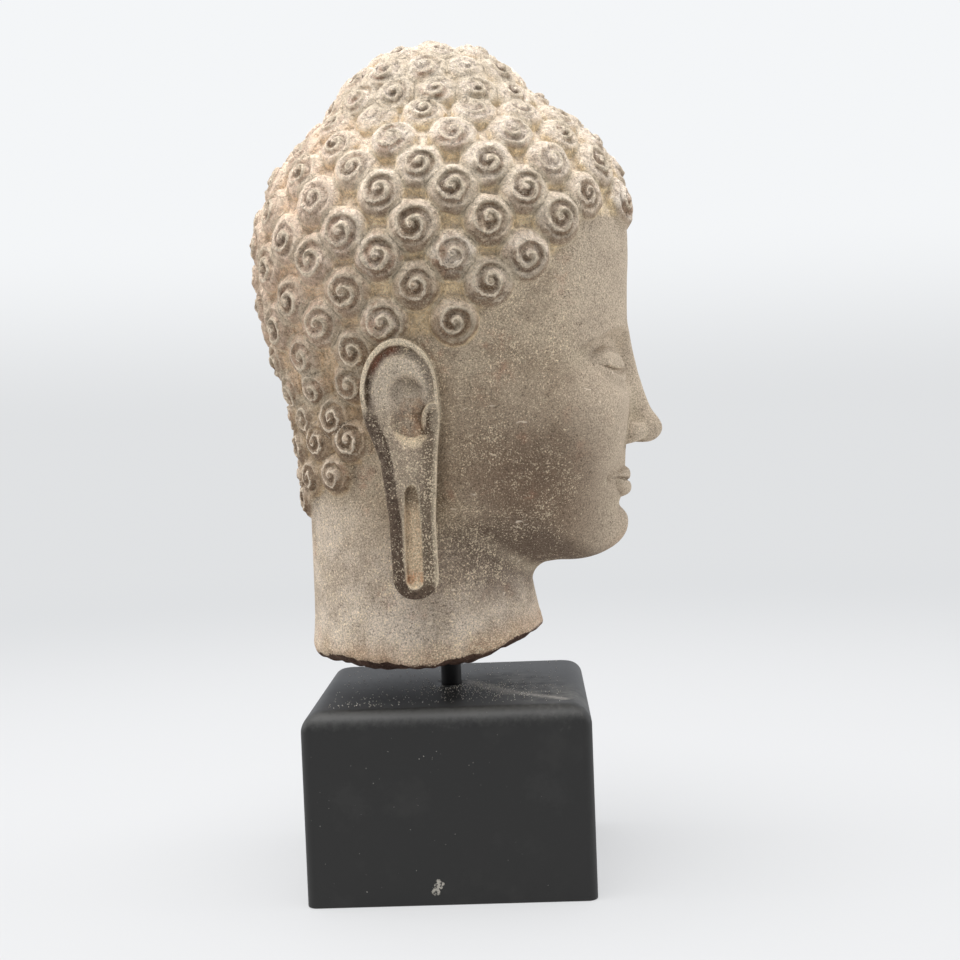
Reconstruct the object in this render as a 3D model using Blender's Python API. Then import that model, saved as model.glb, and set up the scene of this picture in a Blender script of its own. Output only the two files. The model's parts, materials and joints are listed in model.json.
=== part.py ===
"""Stone buddha head on its stand.

A life-size sandstone head with snail-shell curls stands on a steel rod in a square black plinth.
The head is shaped as a block of distances (negative inside the stone): rounded masses are joined and
carved in it, then its surface becomes a closed mesh. The face looks along -Y, and +Z is up.
Sizes are in millimetres here and become metres where the meshes are made.
"""
import math

import bpy
import numpy as np
import openvdb

MM = 0.001

# stand
PLINTH_SIDE = 160.0
PLINTH_HEIGHT = 108.0
PLINTH_TOP_ROUND = 11.0
PLINTH_CORNER_ROUND = 5.0
PLINTH_BOTTOM_ROUND = 1.0
ROD_DIAMETER = 12.0
ROD_INTO_PLINTH = 50.0
ROD_INTO_HEAD = 70.0
GAP = 0.3

# skull, crown and neck
MIDDLE_Y = -6.0
SKULL_HEIGHT = 366.0
SKULL_HALF_WIDTH = 84.5
SKULL_HALF_DEPTH = 107.0
SKULL_UP = 91.0
SKULL_DOWN = 165.0
SKULL_LEAN = 2.5
CROWN_Y = -3.0
CROWN_HEIGHT = 428.0
CROWN_HALF_WIDTH = 50.0
CROWN_HALF_DEPTH = 60.0
CROWN_RISE = 51.0
NECK_Y = 14.3
NECK_HALF_WIDTH = 61.0
NECK_HALF_DEPTH = 64.7
NECK_WAIST = 166.0
FOOT_BEGINS = 170.0
FOOT_SPREAD = 0.16
BREAK_LOW = 123.0
BREAK_Y = 15.0
BREAK_RISE_BACK = 0.0023
BREAK_RISE_FRONT = 0.0043
BREAK_RISE_SIDE = 0.0016

# face, laid out in equal thirds from the hairline to the chin
HAIRLINE = 374.0
CHIN_UNDER = 184.0
THIRD = (HAIRLINE - CHIN_UNDER) / 3.0
BROW = HAIRLINE - THIRD
NOSE_BASE = BROW - THIRD
MOUTH = NOSE_BASE - THIRD / 3.0
EYE = BROW - 14.0
EYE_WIDTH = 30.0

# ears
EAR_TOP = 310.5
EAR_END = 168.5
EAR_FRONT = -4.0
EAR_OUT = 84.0
EAR_FLARE = 0.14
EAR_Y = 17.5
EAR_HALF_WIDTH = 20.8
LOBE_Y = 12.9
LOBE_HALF_WIDTH = 12.4
RIM = 3.2
EAR_THICK = 14.0
LOBE_ROUND = 7.0
LOBE_THINNER = 2.0
SLOT_TOP = 226.0
SLOT_END = 180.0
SLOT_HALF_WIDTH = 5.0

# hair
CURLS_ROUND = 15
CURLS_ROUND_NAPE = 19
NAPE_BEGINS = 292.0
NAPE = 216.0
FIRST_ROW = 387.0
FIRST_TURN = -0.005
ROW_GAP = 16.8
CURL_TIGHTEST = 21.5
CURL_FILL = 0.5
CURL_LEAST = 11.6
CURL_SKIRT = 1.07
CURL_RISE = 0.73
CURL_GROOVE = 1.4
CURL_TURNS = 2.1
HAND_SET = 2.0
HAIR_BED = 1.5

# making
CELL = 2.0
HEAD_FACES = 9180


def egg(x, y, z, centre, radii, up=None):
    """A rounded mass; its upper half can have a height of its own."""
    dx = x - centre[0]
    dy = y - centre[1]
    dz = z - centre[2]
    tall = radii[2] if up is None else np.where(dz > 0.0, up, radii[2])
    a = np.sqrt((dx / radii[0]) ** 2 + (dy / radii[1]) ** 2 + (dz / tall) ** 2)
    b = np.sqrt((dx / radii[0] ** 2) ** 2 + (dy / radii[1] ** 2) ** 2 + (dz / tall ** 2) ** 2)
    return a * (a - 1.0) / np.maximum(b, 1e-9)


def roll(x, y, z, start, end, r_start, r_end):
    """A rounded bar that runs from one point to another and may taper."""
    ax = end[0] - start[0]
    ay = end[1] - start[1]
    az = end[2] - start[2]
    length = ax * ax + ay * ay + az * az
    t = ((x - start[0]) * ax + (y - start[1]) * ay + (z - start[2]) * az) / length
    t = np.clip(t, 0.0, 1.0)
    gap = (x - start[0] - t * ax) ** 2 + (y - start[1] - t * ay) ** 2 + (z - start[2] - t * az) ** 2
    return np.sqrt(gap) - (r_start + (r_end - r_start) * t)


def join(a, b, soft):
    """Both masses, with the corner between them filled to a soft hollow."""
    h = np.maximum(soft - np.abs(a - b), 0.0) / soft
    return np.minimum(a, b) - h * h * soft * 0.25


def carve(a, b, soft):
    """The first mass with the second cut away, its edge softened."""
    h = np.maximum(soft - np.abs(a + b), 0.0) / soft
    return np.maximum(a, -b) + h * h * soft * 0.25


def keep(a, b, soft):
    """Only what both masses share, its edge softened."""
    h = np.maximum(soft - np.abs(a - b), 0.0) / soft
    return np.maximum(a, b) + h * h * soft * 0.25


def step(t):
    """A smooth rise from 0 to 1 as t goes from 0 to 1."""
    t = np.clip(t, 0.0, 1.0)
    return t * t * (3.0 - 2.0 * t)


def scalp(x, y, z):
    """Skull, crown dome and neck with no hair, ears or face."""
    lean = SKULL_LEAN * step((z - SKULL_HEIGHT) / 50.0)
    skull = egg(x, y + lean, z, (0.0, MIDDLE_Y, SKULL_HEIGHT),
                (SKULL_HALF_WIDTH, SKULL_HALF_DEPTH, SKULL_DOWN), SKULL_UP)
    crown = egg(x, y, z, (0.0, CROWN_Y, CROWN_HEIGHT),
                (CROWN_HALF_WIDTH, CROWN_HALF_DEPTH, CROWN_RISE))
    waist = 1.0 + 0.045 * ((z - NECK_WAIST) / 40.0) ** 2 * (z < NECK_WAIST)
    across = np.sqrt((x / NECK_HALF_WIDTH) ** 2 + ((y - NECK_Y) / NECK_HALF_DEPTH) ** 2)
    neck = (across - waist) * NECK_HALF_WIDTH
    neck = keep(neck, z - 262.0, 20.0)
    return join(join(skull, crown, 9.0), neck, 26.0)


def break_height(x, y):
    """Height of the broken underside, with its rough facets."""
    back = np.maximum(y - BREAK_Y, 0.0) ** 2 * BREAK_RISE_BACK
    front = np.maximum(BREAK_Y - y, 0.0) ** 2 * BREAK_RISE_FRONT
    side = x * x * BREAK_RISE_SIDE
    rough = 1.2 * np.sin(0.13 * x + 0.9) * np.sin(0.11 * y + 0.4)
    rough = rough + 0.7 * np.sin(0.21 * x - 0.13 * y) + 0.3 * np.sin(0.55 * y + 0.31 * x + 1.1)
    return BREAK_LOW + back + front + side + rough


class Block:
    """A box of stone held as distances on a regular grid."""

    def __init__(self, low, high, cell):
        self.cell = cell
        self.low = low
        self.axes = [np.arange(low[i], high[i], cell) for i in range(3)]
        self.depth = np.full([len(a) for a in self.axes], 40.0, dtype=np.float32)

    def window(self, low, high):
        """The slices of the grid inside a box, and the coordinates there."""
        cuts = []
        for i in range(3):
            first = max(int((low[i] - self.low[i]) / self.cell), 0)
            last = max(int((high[i] - self.low[i]) / self.cell) + 2, first + 1)
            cuts.append(slice(first, min(last, len(self.axes[i]))))
        x = self.axes[0][cuts[0]][:, None, None].astype(np.float32)
        y = self.axes[1][cuts[1]][None, :, None].astype(np.float32)
        z = self.axes[2][cuts[2]][None, None, :].astype(np.float32)
        return tuple(cuts), x, y, z

    def work(self, low, high, change):
        """Let a function of (distance, x, y, z) reshape the stone inside a box."""
        cuts, x, y, z = self.window(low, high)
        self.depth[cuts] = change(self.depth[cuts], x, y, z)

    def surface(self):
        """The stone's skin as points and quads, in millimetres."""
        grid = openvdb.FloatGrid(background=float(40.0))
        grid.copyFromArray(self.depth)
        points, quads = grid.convertToQuads(0.0)
        return points * self.cell + np.array(self.low), quads


def shape_masses(stone):
    """The skull, neck, face block, jaw, cheeks and chin."""
    def masses(d, x, y, z):
        x = np.abs(x)
        face = egg(x, y, z, (0.0, -37.0, 282.0), (71.0, 75.0, 106.0), 130.0)
        jaw = roll(x, y, z, (48.0, -16.0, 226.0), (17.0, -78.0, 201.0), 19.0, 16.0)
        d = join(scalp(x, y, z), join(face, jaw, 22.0), 10.0)
        cheek = egg(x, y, z, (36.0, -72.0, 262.0), (30.0, 31.0, 34.0))
        d = join(d, cheek, 16.0)
        muzzle = egg(x, y, z, (0.0, -76.0, MOUTH + 2.0), (33.0, 28.5, 25.0))
        d = join(d, muzzle, 12.0)
        chin = egg(x, y, z, (0.0, -86.0, CHIN_UNDER + 17.0), (23.0, 22.0, 17.0))
        return join(d, chin, 13.0)
    stone.work((-200.0, -200.0, 0.0), (200.0, 200.0, 600.0), masses)


def brow_line(x):
    """Height of the brow's arch across the face."""
    t = np.clip((x - 7.0) / 58.0, 0.0, 1.0)
    return BROW - 7.0 + 13.0 * np.abs(np.sin(math.pi * t ** 0.8)) ** 0.9 - 5.0 * t


def brow_relief(x, z):
    """A fine ridge along each brow, with a hollow under it that is deepest beside the nose."""
    arch = brow_line(x)
    drop = arch - z
    hollow = step(drop / 9.0) * step((z - EYE + 24.0) / 24.0)
    hollow = hollow * step((70.0 - x) / 44.0) * step((x - 3.0) / 11.0)
    ridge = np.exp(-((drop + 0.6) / 2.2) ** 2) * step((65.0 - x) / 16.0) * step((x - 6.0) / 8.0)
    return 1.1 * ridge - 6.4 * hollow


def eye_relief(x, z):
    """A lowered eye: a full upper lid, a narrow opening and a soft lower lid, each with a crisp edge."""
    t = (x - EYE_WIDTH - 1.0) / (0.58 * EYE_WIDTH)
    bow = np.clip(1.0 - t * t, 0.0, 1.0)
    line = EYE - 4.6 + 1.3 * t - 1.6 * bow
    fold = line + 3.0 + 10.0 * bow ** 0.7
    under = line - 3.9 * bow ** 0.8
    upper = np.clip((z - line) / np.maximum(fold - line, 0.1), 0.0, 1.0)
    width = step((1.10 - np.abs(t)) / 0.42)
    lid = 4.8 * np.sqrt(np.clip(1.0 - (1.5 * upper - 0.5) ** 2, 0.0, 1.0)) * step((z - line) / 0.9)
    ball = 2.0 * step((z - under) / 0.8) * step((line + 0.9 - z) / 0.9)
    pouch = 3.6 * (1.0 - step((under - z) / 8.0)) * step((under + 0.8 - z) / 0.8)
    return (lid + ball + pouch) * width


def lip_relief(x, z):
    """Full closed lips with a bow above, a lifted line between them and small hollows at the ends."""
    line = MOUTH + 0.0040 * x * x - 1.2 * np.exp(-(x / 4.5) ** 2)
    top = 8.2 * np.clip(1.0 - (x / 27.0) ** 2, 0.0, 1.0) ** 0.8 * (1.0 - 0.20 * np.exp(-(x / 3.6) ** 2))
    low = 9.0 * np.clip(1.0 - (x / 24.5) ** 2, 0.0, 1.0) ** 0.55
    u = (z - line) / np.maximum(top, 0.6)
    v = (line - z) / np.maximum(low, 0.6)
    upper = np.sqrt(np.clip(1.0 - ((u - 0.36) / 0.64) ** 2, 0.0, 1.0)) * (u >= 0.0)
    under = np.sqrt(np.clip(1.0 - ((v - 0.42) / 0.58) ** 2, 0.0, 1.0)) * (v > 0.0)
    ends = np.sqrt(np.clip(1.0 - (x / 28.0) ** 2, 0.0, 1.0))
    full = 3.8 * upper * ends + 4.6 * under * ends
    cut = 1.7 * np.exp(-((z - line) / 1.0) ** 2) * step((29.0 - x) / 5.0)
    chin_fold = 2.4 * np.exp(-((z - MOUTH + 14.5) / 4.2) ** 2) * np.exp(-(x / 17.0) ** 2)
    above = step((z - line - top + 1.0) / 3.0) * step((NOSE_BASE + 1.0 - z) / 3.0)
    channel = 1.3 * np.exp(-(x / 2.8) ** 2) * above - 0.5 * np.exp(-((x - 5.2) / 2.0) ** 2) * above
    corner = 2.2 * np.exp(-((x - 29.0) / 3.6) ** 2 - ((z - MOUTH - 3.4) / 3.4) ** 2)
    return full - cut - chin_fold - channel - corner


def shape_face(stone):
    """Brows, eyes, nose and mouth."""
    def brows_and_eyes(d, x, y, z):
        x = np.abs(x)
        return d - (brow_relief(x, z) + eye_relief(x, z)) * step((-50.0 - y) / 20.0)
    stone.work((-72.0, -140.0, EYE - 30.0), (72.0, -30.0, BROW + 22.0), brows_and_eyes)

    def nose(d, x, y, z):
        x = np.abs(x)
        bridge = roll(x, y, z, (0.0, -103.5, BROW - 2.0), (0.0, -117.5, NOSE_BASE + 14.0), 5.2, 7.6)
        tip = egg(x, y, z, (0.0, -118.5, NOSE_BASE + 8.5), (9.6, 11.5, 8.5))
        wing = egg(x, y, z, (10.4, -108.5, NOSE_BASE + 7.0), (7.2, 10.0, 7.0))
        d = join(d, bridge, 10.0)
        d = join(d, wing, 3.0)
        d = join(d, tip, 6.0)
        nostril = egg(x, y, z, (6.4, -113.5, NOSE_BASE - 0.6), (3.4, 5.2, 3.6))
        return carve(d, nostril, 1.5)
    stone.work((-36.0, -145.0, NOSE_BASE - 14.0), (36.0, -70.0, BROW + 16.0), nose)

    def lips(d, x, y, z):
        return d - lip_relief(np.abs(x), z) * step((-80.0 - y) / 10.0)
    stone.work((-38.0, -130.0, MOUTH - 26.0), (38.0, -70.0, NOSE_BASE + 4.0), lips)


def ear_outline(y, z):
    """Signed distance from the ear's outline in side view."""
    round_top = EAR_TOP - 29.0
    a = np.sqrt(((y - EAR_Y) / EAR_HALF_WIDTH) ** 2 + ((z - round_top) / 29.0) ** 2)
    upper = (a - 1.0) * 22.0
    start = round_top - 18.0
    end = EAR_END + LOBE_HALF_WIDTH
    t = np.clip((start - z) / (start - end), 0.0, 1.0)
    middle = EAR_Y - 3.0 + (LOBE_Y - EAR_Y + 3.0) * t
    wide = 17.0 + (LOBE_HALF_WIDTH - 17.0) * np.minimum(t * 1.6, 1.0)
    below = np.maximum(end - z, 0.0)
    above = np.maximum(z - start, 0.0)
    lower = np.sqrt((y - middle) ** 2 + below ** 2 + above ** 2) - wide
    shape = join(upper, lower, 12.0)
    return keep(shape, EAR_FRONT - y, 4.0)


def shape_ears(stone):
    """Raised ears with a rolled rim, a bowl and a long slotted lobe."""
    def ears(d, x, y, z):
        x = np.abs(x)
        out = EAR_OUT + EAR_FLARE * (y - EAR_FRONT) - 0.02 * (EAR_TOP - z)
        flat = ear_outline(y, z)
        under = np.clip(EAR_END + LOBE_ROUND - z, 0.0, LOBE_ROUND)
        tuck = LOBE_ROUND - np.sqrt(LOBE_ROUND ** 2 - under ** 2)
        thick = EAR_THICK - LOBE_THINNER * step((EAR_TOP - 64.0 - z) / 60.0)
        slab = keep(flat, x - out + 0.6 * tuck, 5.0)
        slab = keep(slab, out - thick + tuck - x, 4.0)
        web = keep(flat + 6.0, x - out + 5.0, 3.0)
        web = keep(web, 40.0 - x, 2.0)
        d = join(d, web, 9.0)
        d = join(d, slab, 3.0)
        near = step((x - out + 8.0) / 4.0)
        groove = np.exp(-((flat + RIM + 1.6) / 2.0) ** 2) * step((z - EAR_TOP + 75.0) / 30.0)
        inner = 1.2 * step((-flat - RIM) / 3.0) * step((z - EAR_TOP + 90.0) / 40.0)
        d = d + (2.4 * groove + inner) * near
        bowl = egg(x, y, z, (out + 1.0, EAR_Y - 5.5, EAR_TOP - 41.0), (9.5, 11.0, 22.0))
        d = carve(d, bowl, 3.0)
        knob = egg(x, y, z, (out - 4.5, EAR_FRONT + 4.0, EAR_TOP - 40.0), (6.0, 4.6, 6.5))
        d = join(d, knob, 3.0)
        middle = LOBE_Y + 1.6
        away = np.maximum(z - SLOT_TOP, 0.0) ** 2 + np.maximum(SLOT_END - z, 0.0) ** 2
        side = np.sqrt((y - middle) ** 2 + away)
        slot = keep(side - SLOT_HALF_WIDTH, out - 8.5 - x, 4.0)
        return carve(d, slot, 1.4)
    for side in (-1.0, 1.0):
        low = (min(side * 40.0, side * 99.0), -16.0, 158.0)
        high = (max(side * 40.0, side * 99.0), 52.0, 326.0)
        stone.work(low, high, ears)


def ring_at(height, count=240):
    """Points round the scalp at one height, by halving a distance until it meets the surface."""
    angle = np.arange(count) / count * 2.0 * math.pi - math.pi / 2.0
    near = np.zeros(count)
    far = np.full(count, 160.0)
    for _ in range(26):
        half = 0.5 * (near + far)
        inside = scalp(half * np.cos(angle), MIDDLE_Y + half * np.sin(angle), height) < 0.0
        near = np.where(inside, half, near)
        far = np.where(inside, far, half)
    return near * np.cos(angle), MIDDLE_Y + near * np.sin(angle)


def outward(point):
    """Direction out of the scalp at a point."""
    e = 0.5
    x, y, z = point
    n = np.array([scalp(x + e, y, z) - scalp(x - e, y, z),
                  scalp(x, y + e, z) - scalp(x, y - e, z),
                  scalp(x, y, z + e) - scalp(x, y, z - e)], dtype=float)
    return n / np.linalg.norm(n)


def hair_starts(y):
    """Lowest height of the hair at a distance y from front to back."""
    temple = HAIRLINE - 14.0
    over_ear = EAR_TOP - 2.0
    slope = temple + (over_ear - temple) * np.clip((y + 80.0) / 70.0, 0.0, 1.0)
    slope = slope + (HAIRLINE - temple) * step((-80.0 - y) / 5.0)
    behind = NAPE + 24.0 * np.clip((78.0 - y) / 28.0, 0.0, 1.0)
    drop = step((y - 36.0) / 6.0)
    return slope * (1.0 - drop) + behind * drop


def ring_of_curls(height, half_turn):
    """One ring of curls at a height: their places, and how far up the next ring is."""
    x, y = ring_at(height)
    x = np.append(x, x[0])
    y = np.append(y, y[0])
    along = np.concatenate([[0.0], np.cumsum(np.hypot(np.diff(x), np.diff(y)))])
    around = along[-1]
    count = CURLS_ROUND if height > NAPE_BEGINS else CURLS_ROUND_NAPE
    count = max(min(count, int(around / CURL_TIGHTEST)), 1)
    radius = CURL_SKIRT * max(CURL_FILL * math.hypot(0.5 * around / count, ROW_GAP), CURL_LEAST)
    places = []
    for k in range(count):
        turn = (k + 0.5 * half_turn) / count + FIRST_TURN
        at = around * (turn % 1.0) + HAND_SET * math.sin(12.9 * k + 0.37 * height)
        point = np.array([np.interp(at, along, x), np.interp(at, along, y), height])
        point[2] += HAND_SET * math.cos(7.1 * k + 0.53 * height)
        if point[2] > hair_starts(point[1]):
            for _ in range(3):
                facing = outward(point)
                point = point - facing * (scalp(*point) + HAIR_BED)
            places.append((point, facing, radius))
    side = outward(np.array([x[len(x) // 4], y[len(y) // 4], height]))
    return places, ROW_GAP * math.sqrt(max(1.0 - side[2] ** 2, 0.09)), around


def curl_places():
    """Every curl's middle, outward direction and radius, ring by ring from the hairline."""
    places = []
    for way in (1, -1):
        height = FIRST_ROW
        turn = 1
        while height > NAPE - 4.0:
            ring, up, around = ring_of_curls(height, turn % 2)
            if around < 2.4 * CURL_TIGHTEST:
                break
            if way > 0 or turn > 1:
                places.extend(ring)
            height += way * up
            turn += 1
    top = np.array([0.0, CROWN_Y, CROWN_HEIGHT + CROWN_RISE - HAIR_BED])
    places.append((top, np.array([0.0, 0.0, 1.0]), 0.52 * CURL_SKIRT * CURL_TIGHTEST))
    return places


def shape_hair(stone):
    """A snail-shell curl on every place: a round boss with one groove wound out from the middle."""
    def bed(d, x, y, z):
        return d + HAIR_BED * step((z - hair_starts(y) + 2.0) / 9.0)
    stone.work((-120.0, -140.0, 190.0), (120.0, 140.0, 600.0), bed)

    for point, n, radius in curl_places():
        u = np.cross([0.0, 0.0, 1.0], n) if abs(n[2]) < 0.95 else np.array([1.0, 0.0, 0.0])
        u = u / np.linalg.norm(u)
        v = np.cross(n, u)

        def curl(d, x, y, z):
            dx = x - point[0]
            dy = y - point[1]
            dz = z - point[2]
            a = dx * u[0] + dy * u[1] + dz * u[2]
            b = dx * v[0] + dy * v[1] + dz * v[2]
            w = dx * n[0] + dy * n[1] + dz * n[2]
            far = np.sqrt(a * a + b * b) / radius
            dome = CURL_RISE * radius * np.sqrt(np.maximum(1.0 - far ** 2, 0.0))
            wind = np.mod(far * CURL_TURNS + np.arctan2(b, a) / (2.0 * math.pi), 1.0)
            mound = dome - CURL_GROOVE * (1.0 - np.sin(wind * math.pi)) * step((1.0 - far) / 0.2)
            lump = np.maximum(w - mound, (far - 1.0) * radius)
            lump = np.maximum(lump, -6.0 - w)
            return join(d, lump * 0.8, 2.0)
        reach = radius + 6.0
        stone.work(point - reach, point + reach, curl)


def break_off(stone):
    """The neck's foot, which spreads a little at the front, and its rough broken end."""
    def foot(d, x, y, z):
        return d - FOOT_SPREAD * np.maximum(FOOT_BEGINS - z, 0.0) * step((-12.0 - y) / 30.0)
    stone.work((-70.0, -80.0, 108.0), (70.0, -8.0, FOOT_BEGINS), foot)

    def rough(d, x, y, z):
        return keep(d, break_height(x, y) - z, 1.5)
    stone.work((-120.0, -140.0, 90.0), (120.0, 140.0, 190.0), rough)


def add_mesh(name, points, faces):
    mesh = bpy.data.meshes.new(name)
    mesh.from_pydata(points, [], faces)
    mesh.validate()
    mesh.update()
    body = bpy.data.objects.new(name, mesh)
    bpy.context.scene.collection.objects.link(body)
    return body


def paint(body, name, colour, rough, metal=0.0):
    material = bpy.data.materials.new(name)
    material.use_nodes = True
    shader = material.node_tree.nodes["Principled BSDF"]
    shader.inputs["Base Color"].default_value = (*colour, 1.0)
    shader.inputs["Roughness"].default_value = rough
    shader.inputs["Metallic"].default_value = metal
    body.data.materials.clear()
    body.data.materials.append(material)


def apply_modifiers(body):
    bpy.context.view_layer.update()
    finished = bpy.data.meshes.new_from_object(body.evaluated_get(bpy.context.evaluated_depsgraph_get()))
    body.modifiers.clear()
    body.data = finished


def bar(name, radius, low, high, sides=32):
    """A round upright bar, its long side in flat strips."""
    points = []
    for z in (low, high):
        for k in range(sides):
            angle = 2.0 * math.pi * k / sides
            points.append((radius * math.cos(angle) * MM, radius * math.sin(angle) * MM, z * MM))
    faces = [tuple(reversed(range(sides))), tuple(range(sides, 2 * sides))]
    for k in range(sides):
        after = (k + 1) % sides
        faces.append((k, after, sides + after, sides + k))
    return add_mesh(name, points, faces)


def make_head():
    stone = Block((-104.0, -142.0, 108.0), (104.0, 118.0, 496.0), CELL)
    shape_masses(stone)
    shape_face(stone)
    shape_ears(stone)
    shape_hair(stone)
    break_off(stone)
    points, quads = stone.surface()
    head = add_mesh("head", (points * MM).tolist(), quads[:, ::-1].tolist())
    thin = head.modifiers.new("Decimate", "DECIMATE")
    thin.ratio = HEAD_FACES / (2.0 * len(quads))
    apply_modifiers(head)
    socket = bar("rod_socket", ROD_DIAMETER / 2.0 + GAP, 90.0, PLINTH_HEIGHT + ROD_INTO_HEAD + GAP)
    cut = head.modifiers.new("Socket", "BOOLEAN")
    cut.object = socket
    cut.operation = "DIFFERENCE"
    cut.solver = "EXACT"
    apply_modifiers(head)
    bpy.data.objects.remove(socket)
    head.data.name = "head"
    return head


def make_plinth():
    """A square block with rounded corners and a round running along its top edge."""
    half = PLINTH_SIDE / 2.0
    rings = []

    def ring(inset, height):
        r = PLINTH_CORNER_ROUND
        flat = half - inset - r
        line = []
        for corner in range(4):
            cx = flat * (1.0 if corner in (0, 3) else -1.0)
            cy = flat * (1.0 if corner in (0, 1) else -1.0)
            for k in range(5):
                angle = (corner + k / 4.0) * math.pi / 2.0
                line.append((cx + r * math.cos(angle), cy + r * math.sin(angle), height))
        rings.append(line)

    for k in range(3):
        angle = k / 2.0 * math.pi / 2.0
        ring(PLINTH_BOTTOM_ROUND * (1.0 - math.sin(angle)), PLINTH_BOTTOM_ROUND * (1.0 - math.cos(angle)))
    for k in range(7):
        angle = k / 6.0 * math.pi / 2.0
        ring(PLINTH_TOP_ROUND * (1.0 - math.cos(angle)),
             PLINTH_HEIGHT - PLINTH_TOP_ROUND * (1.0 - math.sin(angle)))
    size = len(rings[0])
    points = [(x * MM, y * MM, z * MM) for line in rings for x, y, z in line]
    faces = [tuple(reversed(range(size)))]
    for level in range(len(rings) - 1):
        for k in range(size):
            after = (k + 1) % size
            faces.append((level * size + k, level * size + after,
                          (level + 1) * size + after, (level + 1) * size + k))
    faces.append(tuple(range((len(rings) - 1) * size, len(rings) * size)))
    plinth = add_mesh("plinth", points, faces)
    socket = bar("plinth_socket", ROD_DIAMETER / 2.0 + GAP, PLINTH_HEIGHT - ROD_INTO_PLINTH - GAP, 130.0)
    cut = plinth.modifiers.new("Socket", "BOOLEAN")
    cut.object = socket
    cut.operation = "DIFFERENCE"
    cut.solver = "EXACT"
    apply_modifiers(plinth)
    bpy.data.objects.remove(socket)
    plinth.data.name = "plinth"
    return plinth


for old in list(bpy.data.objects):
    bpy.data.objects.remove(old)

head = make_head()
paint(head, "sandstone", (0.36, 0.31, 0.25), 0.85)

rod_foot = PLINTH_HEIGHT - ROD_INTO_PLINTH
rod = bar("mounting_rod", ROD_DIAMETER / 2.0, rod_foot, PLINTH_HEIGHT + ROD_INTO_HEAD)
paint(rod, "black_steel", (0.02, 0.02, 0.02), 0.4)

plinth = make_plinth()
paint(plinth, "black_wood", (0.03, 0.03, 0.03), 0.5)
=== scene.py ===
import itertools
import json
import math

import bpy
import numpy as np
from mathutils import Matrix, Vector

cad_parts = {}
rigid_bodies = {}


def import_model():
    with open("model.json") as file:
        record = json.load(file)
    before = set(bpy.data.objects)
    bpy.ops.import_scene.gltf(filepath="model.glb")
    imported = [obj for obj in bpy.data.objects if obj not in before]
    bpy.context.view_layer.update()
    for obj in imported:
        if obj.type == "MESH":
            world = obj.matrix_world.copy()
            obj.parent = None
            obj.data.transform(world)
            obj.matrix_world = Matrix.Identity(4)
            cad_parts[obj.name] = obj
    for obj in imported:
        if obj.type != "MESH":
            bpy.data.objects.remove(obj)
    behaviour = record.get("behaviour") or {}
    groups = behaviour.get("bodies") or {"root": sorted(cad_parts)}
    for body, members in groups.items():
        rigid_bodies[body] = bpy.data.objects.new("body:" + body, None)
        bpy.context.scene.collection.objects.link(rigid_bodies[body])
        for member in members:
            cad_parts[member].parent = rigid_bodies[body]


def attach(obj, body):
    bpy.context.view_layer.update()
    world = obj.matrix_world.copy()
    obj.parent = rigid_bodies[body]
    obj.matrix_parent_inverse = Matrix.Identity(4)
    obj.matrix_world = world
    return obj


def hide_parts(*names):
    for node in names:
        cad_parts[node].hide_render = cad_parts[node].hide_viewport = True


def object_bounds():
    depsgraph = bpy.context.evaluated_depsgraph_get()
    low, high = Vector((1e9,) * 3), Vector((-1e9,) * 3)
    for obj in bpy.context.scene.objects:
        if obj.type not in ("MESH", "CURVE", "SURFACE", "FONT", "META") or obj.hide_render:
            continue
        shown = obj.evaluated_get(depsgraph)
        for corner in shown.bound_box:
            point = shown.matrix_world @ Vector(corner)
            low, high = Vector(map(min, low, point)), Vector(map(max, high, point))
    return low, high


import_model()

import openvdb
from mathutils import Vector
from mathutils.bvhtree import BVHTree

cad_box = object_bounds()

# ---------------------------------------------------------------------------------------------
# The head. One block of fine sandstone, carved in the round with its face, ears, curls and crown
# dome, rubbed smooth on the face and left rougher between the curls, and broken off across the neck.
# It is drilled from below and held up only by the rod. Sizes are in millimetres, the mesh in metres.
# ---------------------------------------------------------------------------------------------

MM = 0.001
GRIT = 0.85                     # size of the grid that the stone is shaped on
FAR_OFF = 40.0                  # the greatest distance that is kept in that grid
SLAB = 8                        # layers of the grid that are worked at a time
HEAD_TRIANGLES = 196000

MIDDLE_Y = -6.0
SKULL_HEIGHT = 366.0
SKULL_HALF_WIDTH = 84.5
SKULL_HALF_DEPTH = 107.0
SKULL_UP = 91.0
SKULL_DOWN = 165.0
SKULL_LEAN = 2.5
CROWN_Y = -3.0
CROWN_HEIGHT = 428.0
CROWN_HALF_WIDTH = 50.0
CROWN_HALF_DEPTH = 60.0
CROWN_RISE = 51.0
NECK_Y = 14.3
NECK_HALF_WIDTH = 61.0
NECK_HALF_DEPTH = 64.7
NECK_WAIST = 166.0
NECK_TOP = 262.0
FOOT_BEGINS = 170.0             # below this the front of the neck spreads towards the break
FOOT_SPREAD = 0.16
FOOT_TIP = 3.4
BREAK_LOW = 123.0
BREAK_Y = 15.0
BREAK_RISE_BACK = 0.0023
BREAK_RISE_FRONT = 0.0043
BREAK_RISE_SIDE = 0.0016
CHIP_DEPTH = 2.6
ROD_HOLE = 6.4
ROD_HOLE_TOP = 178.3

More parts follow.
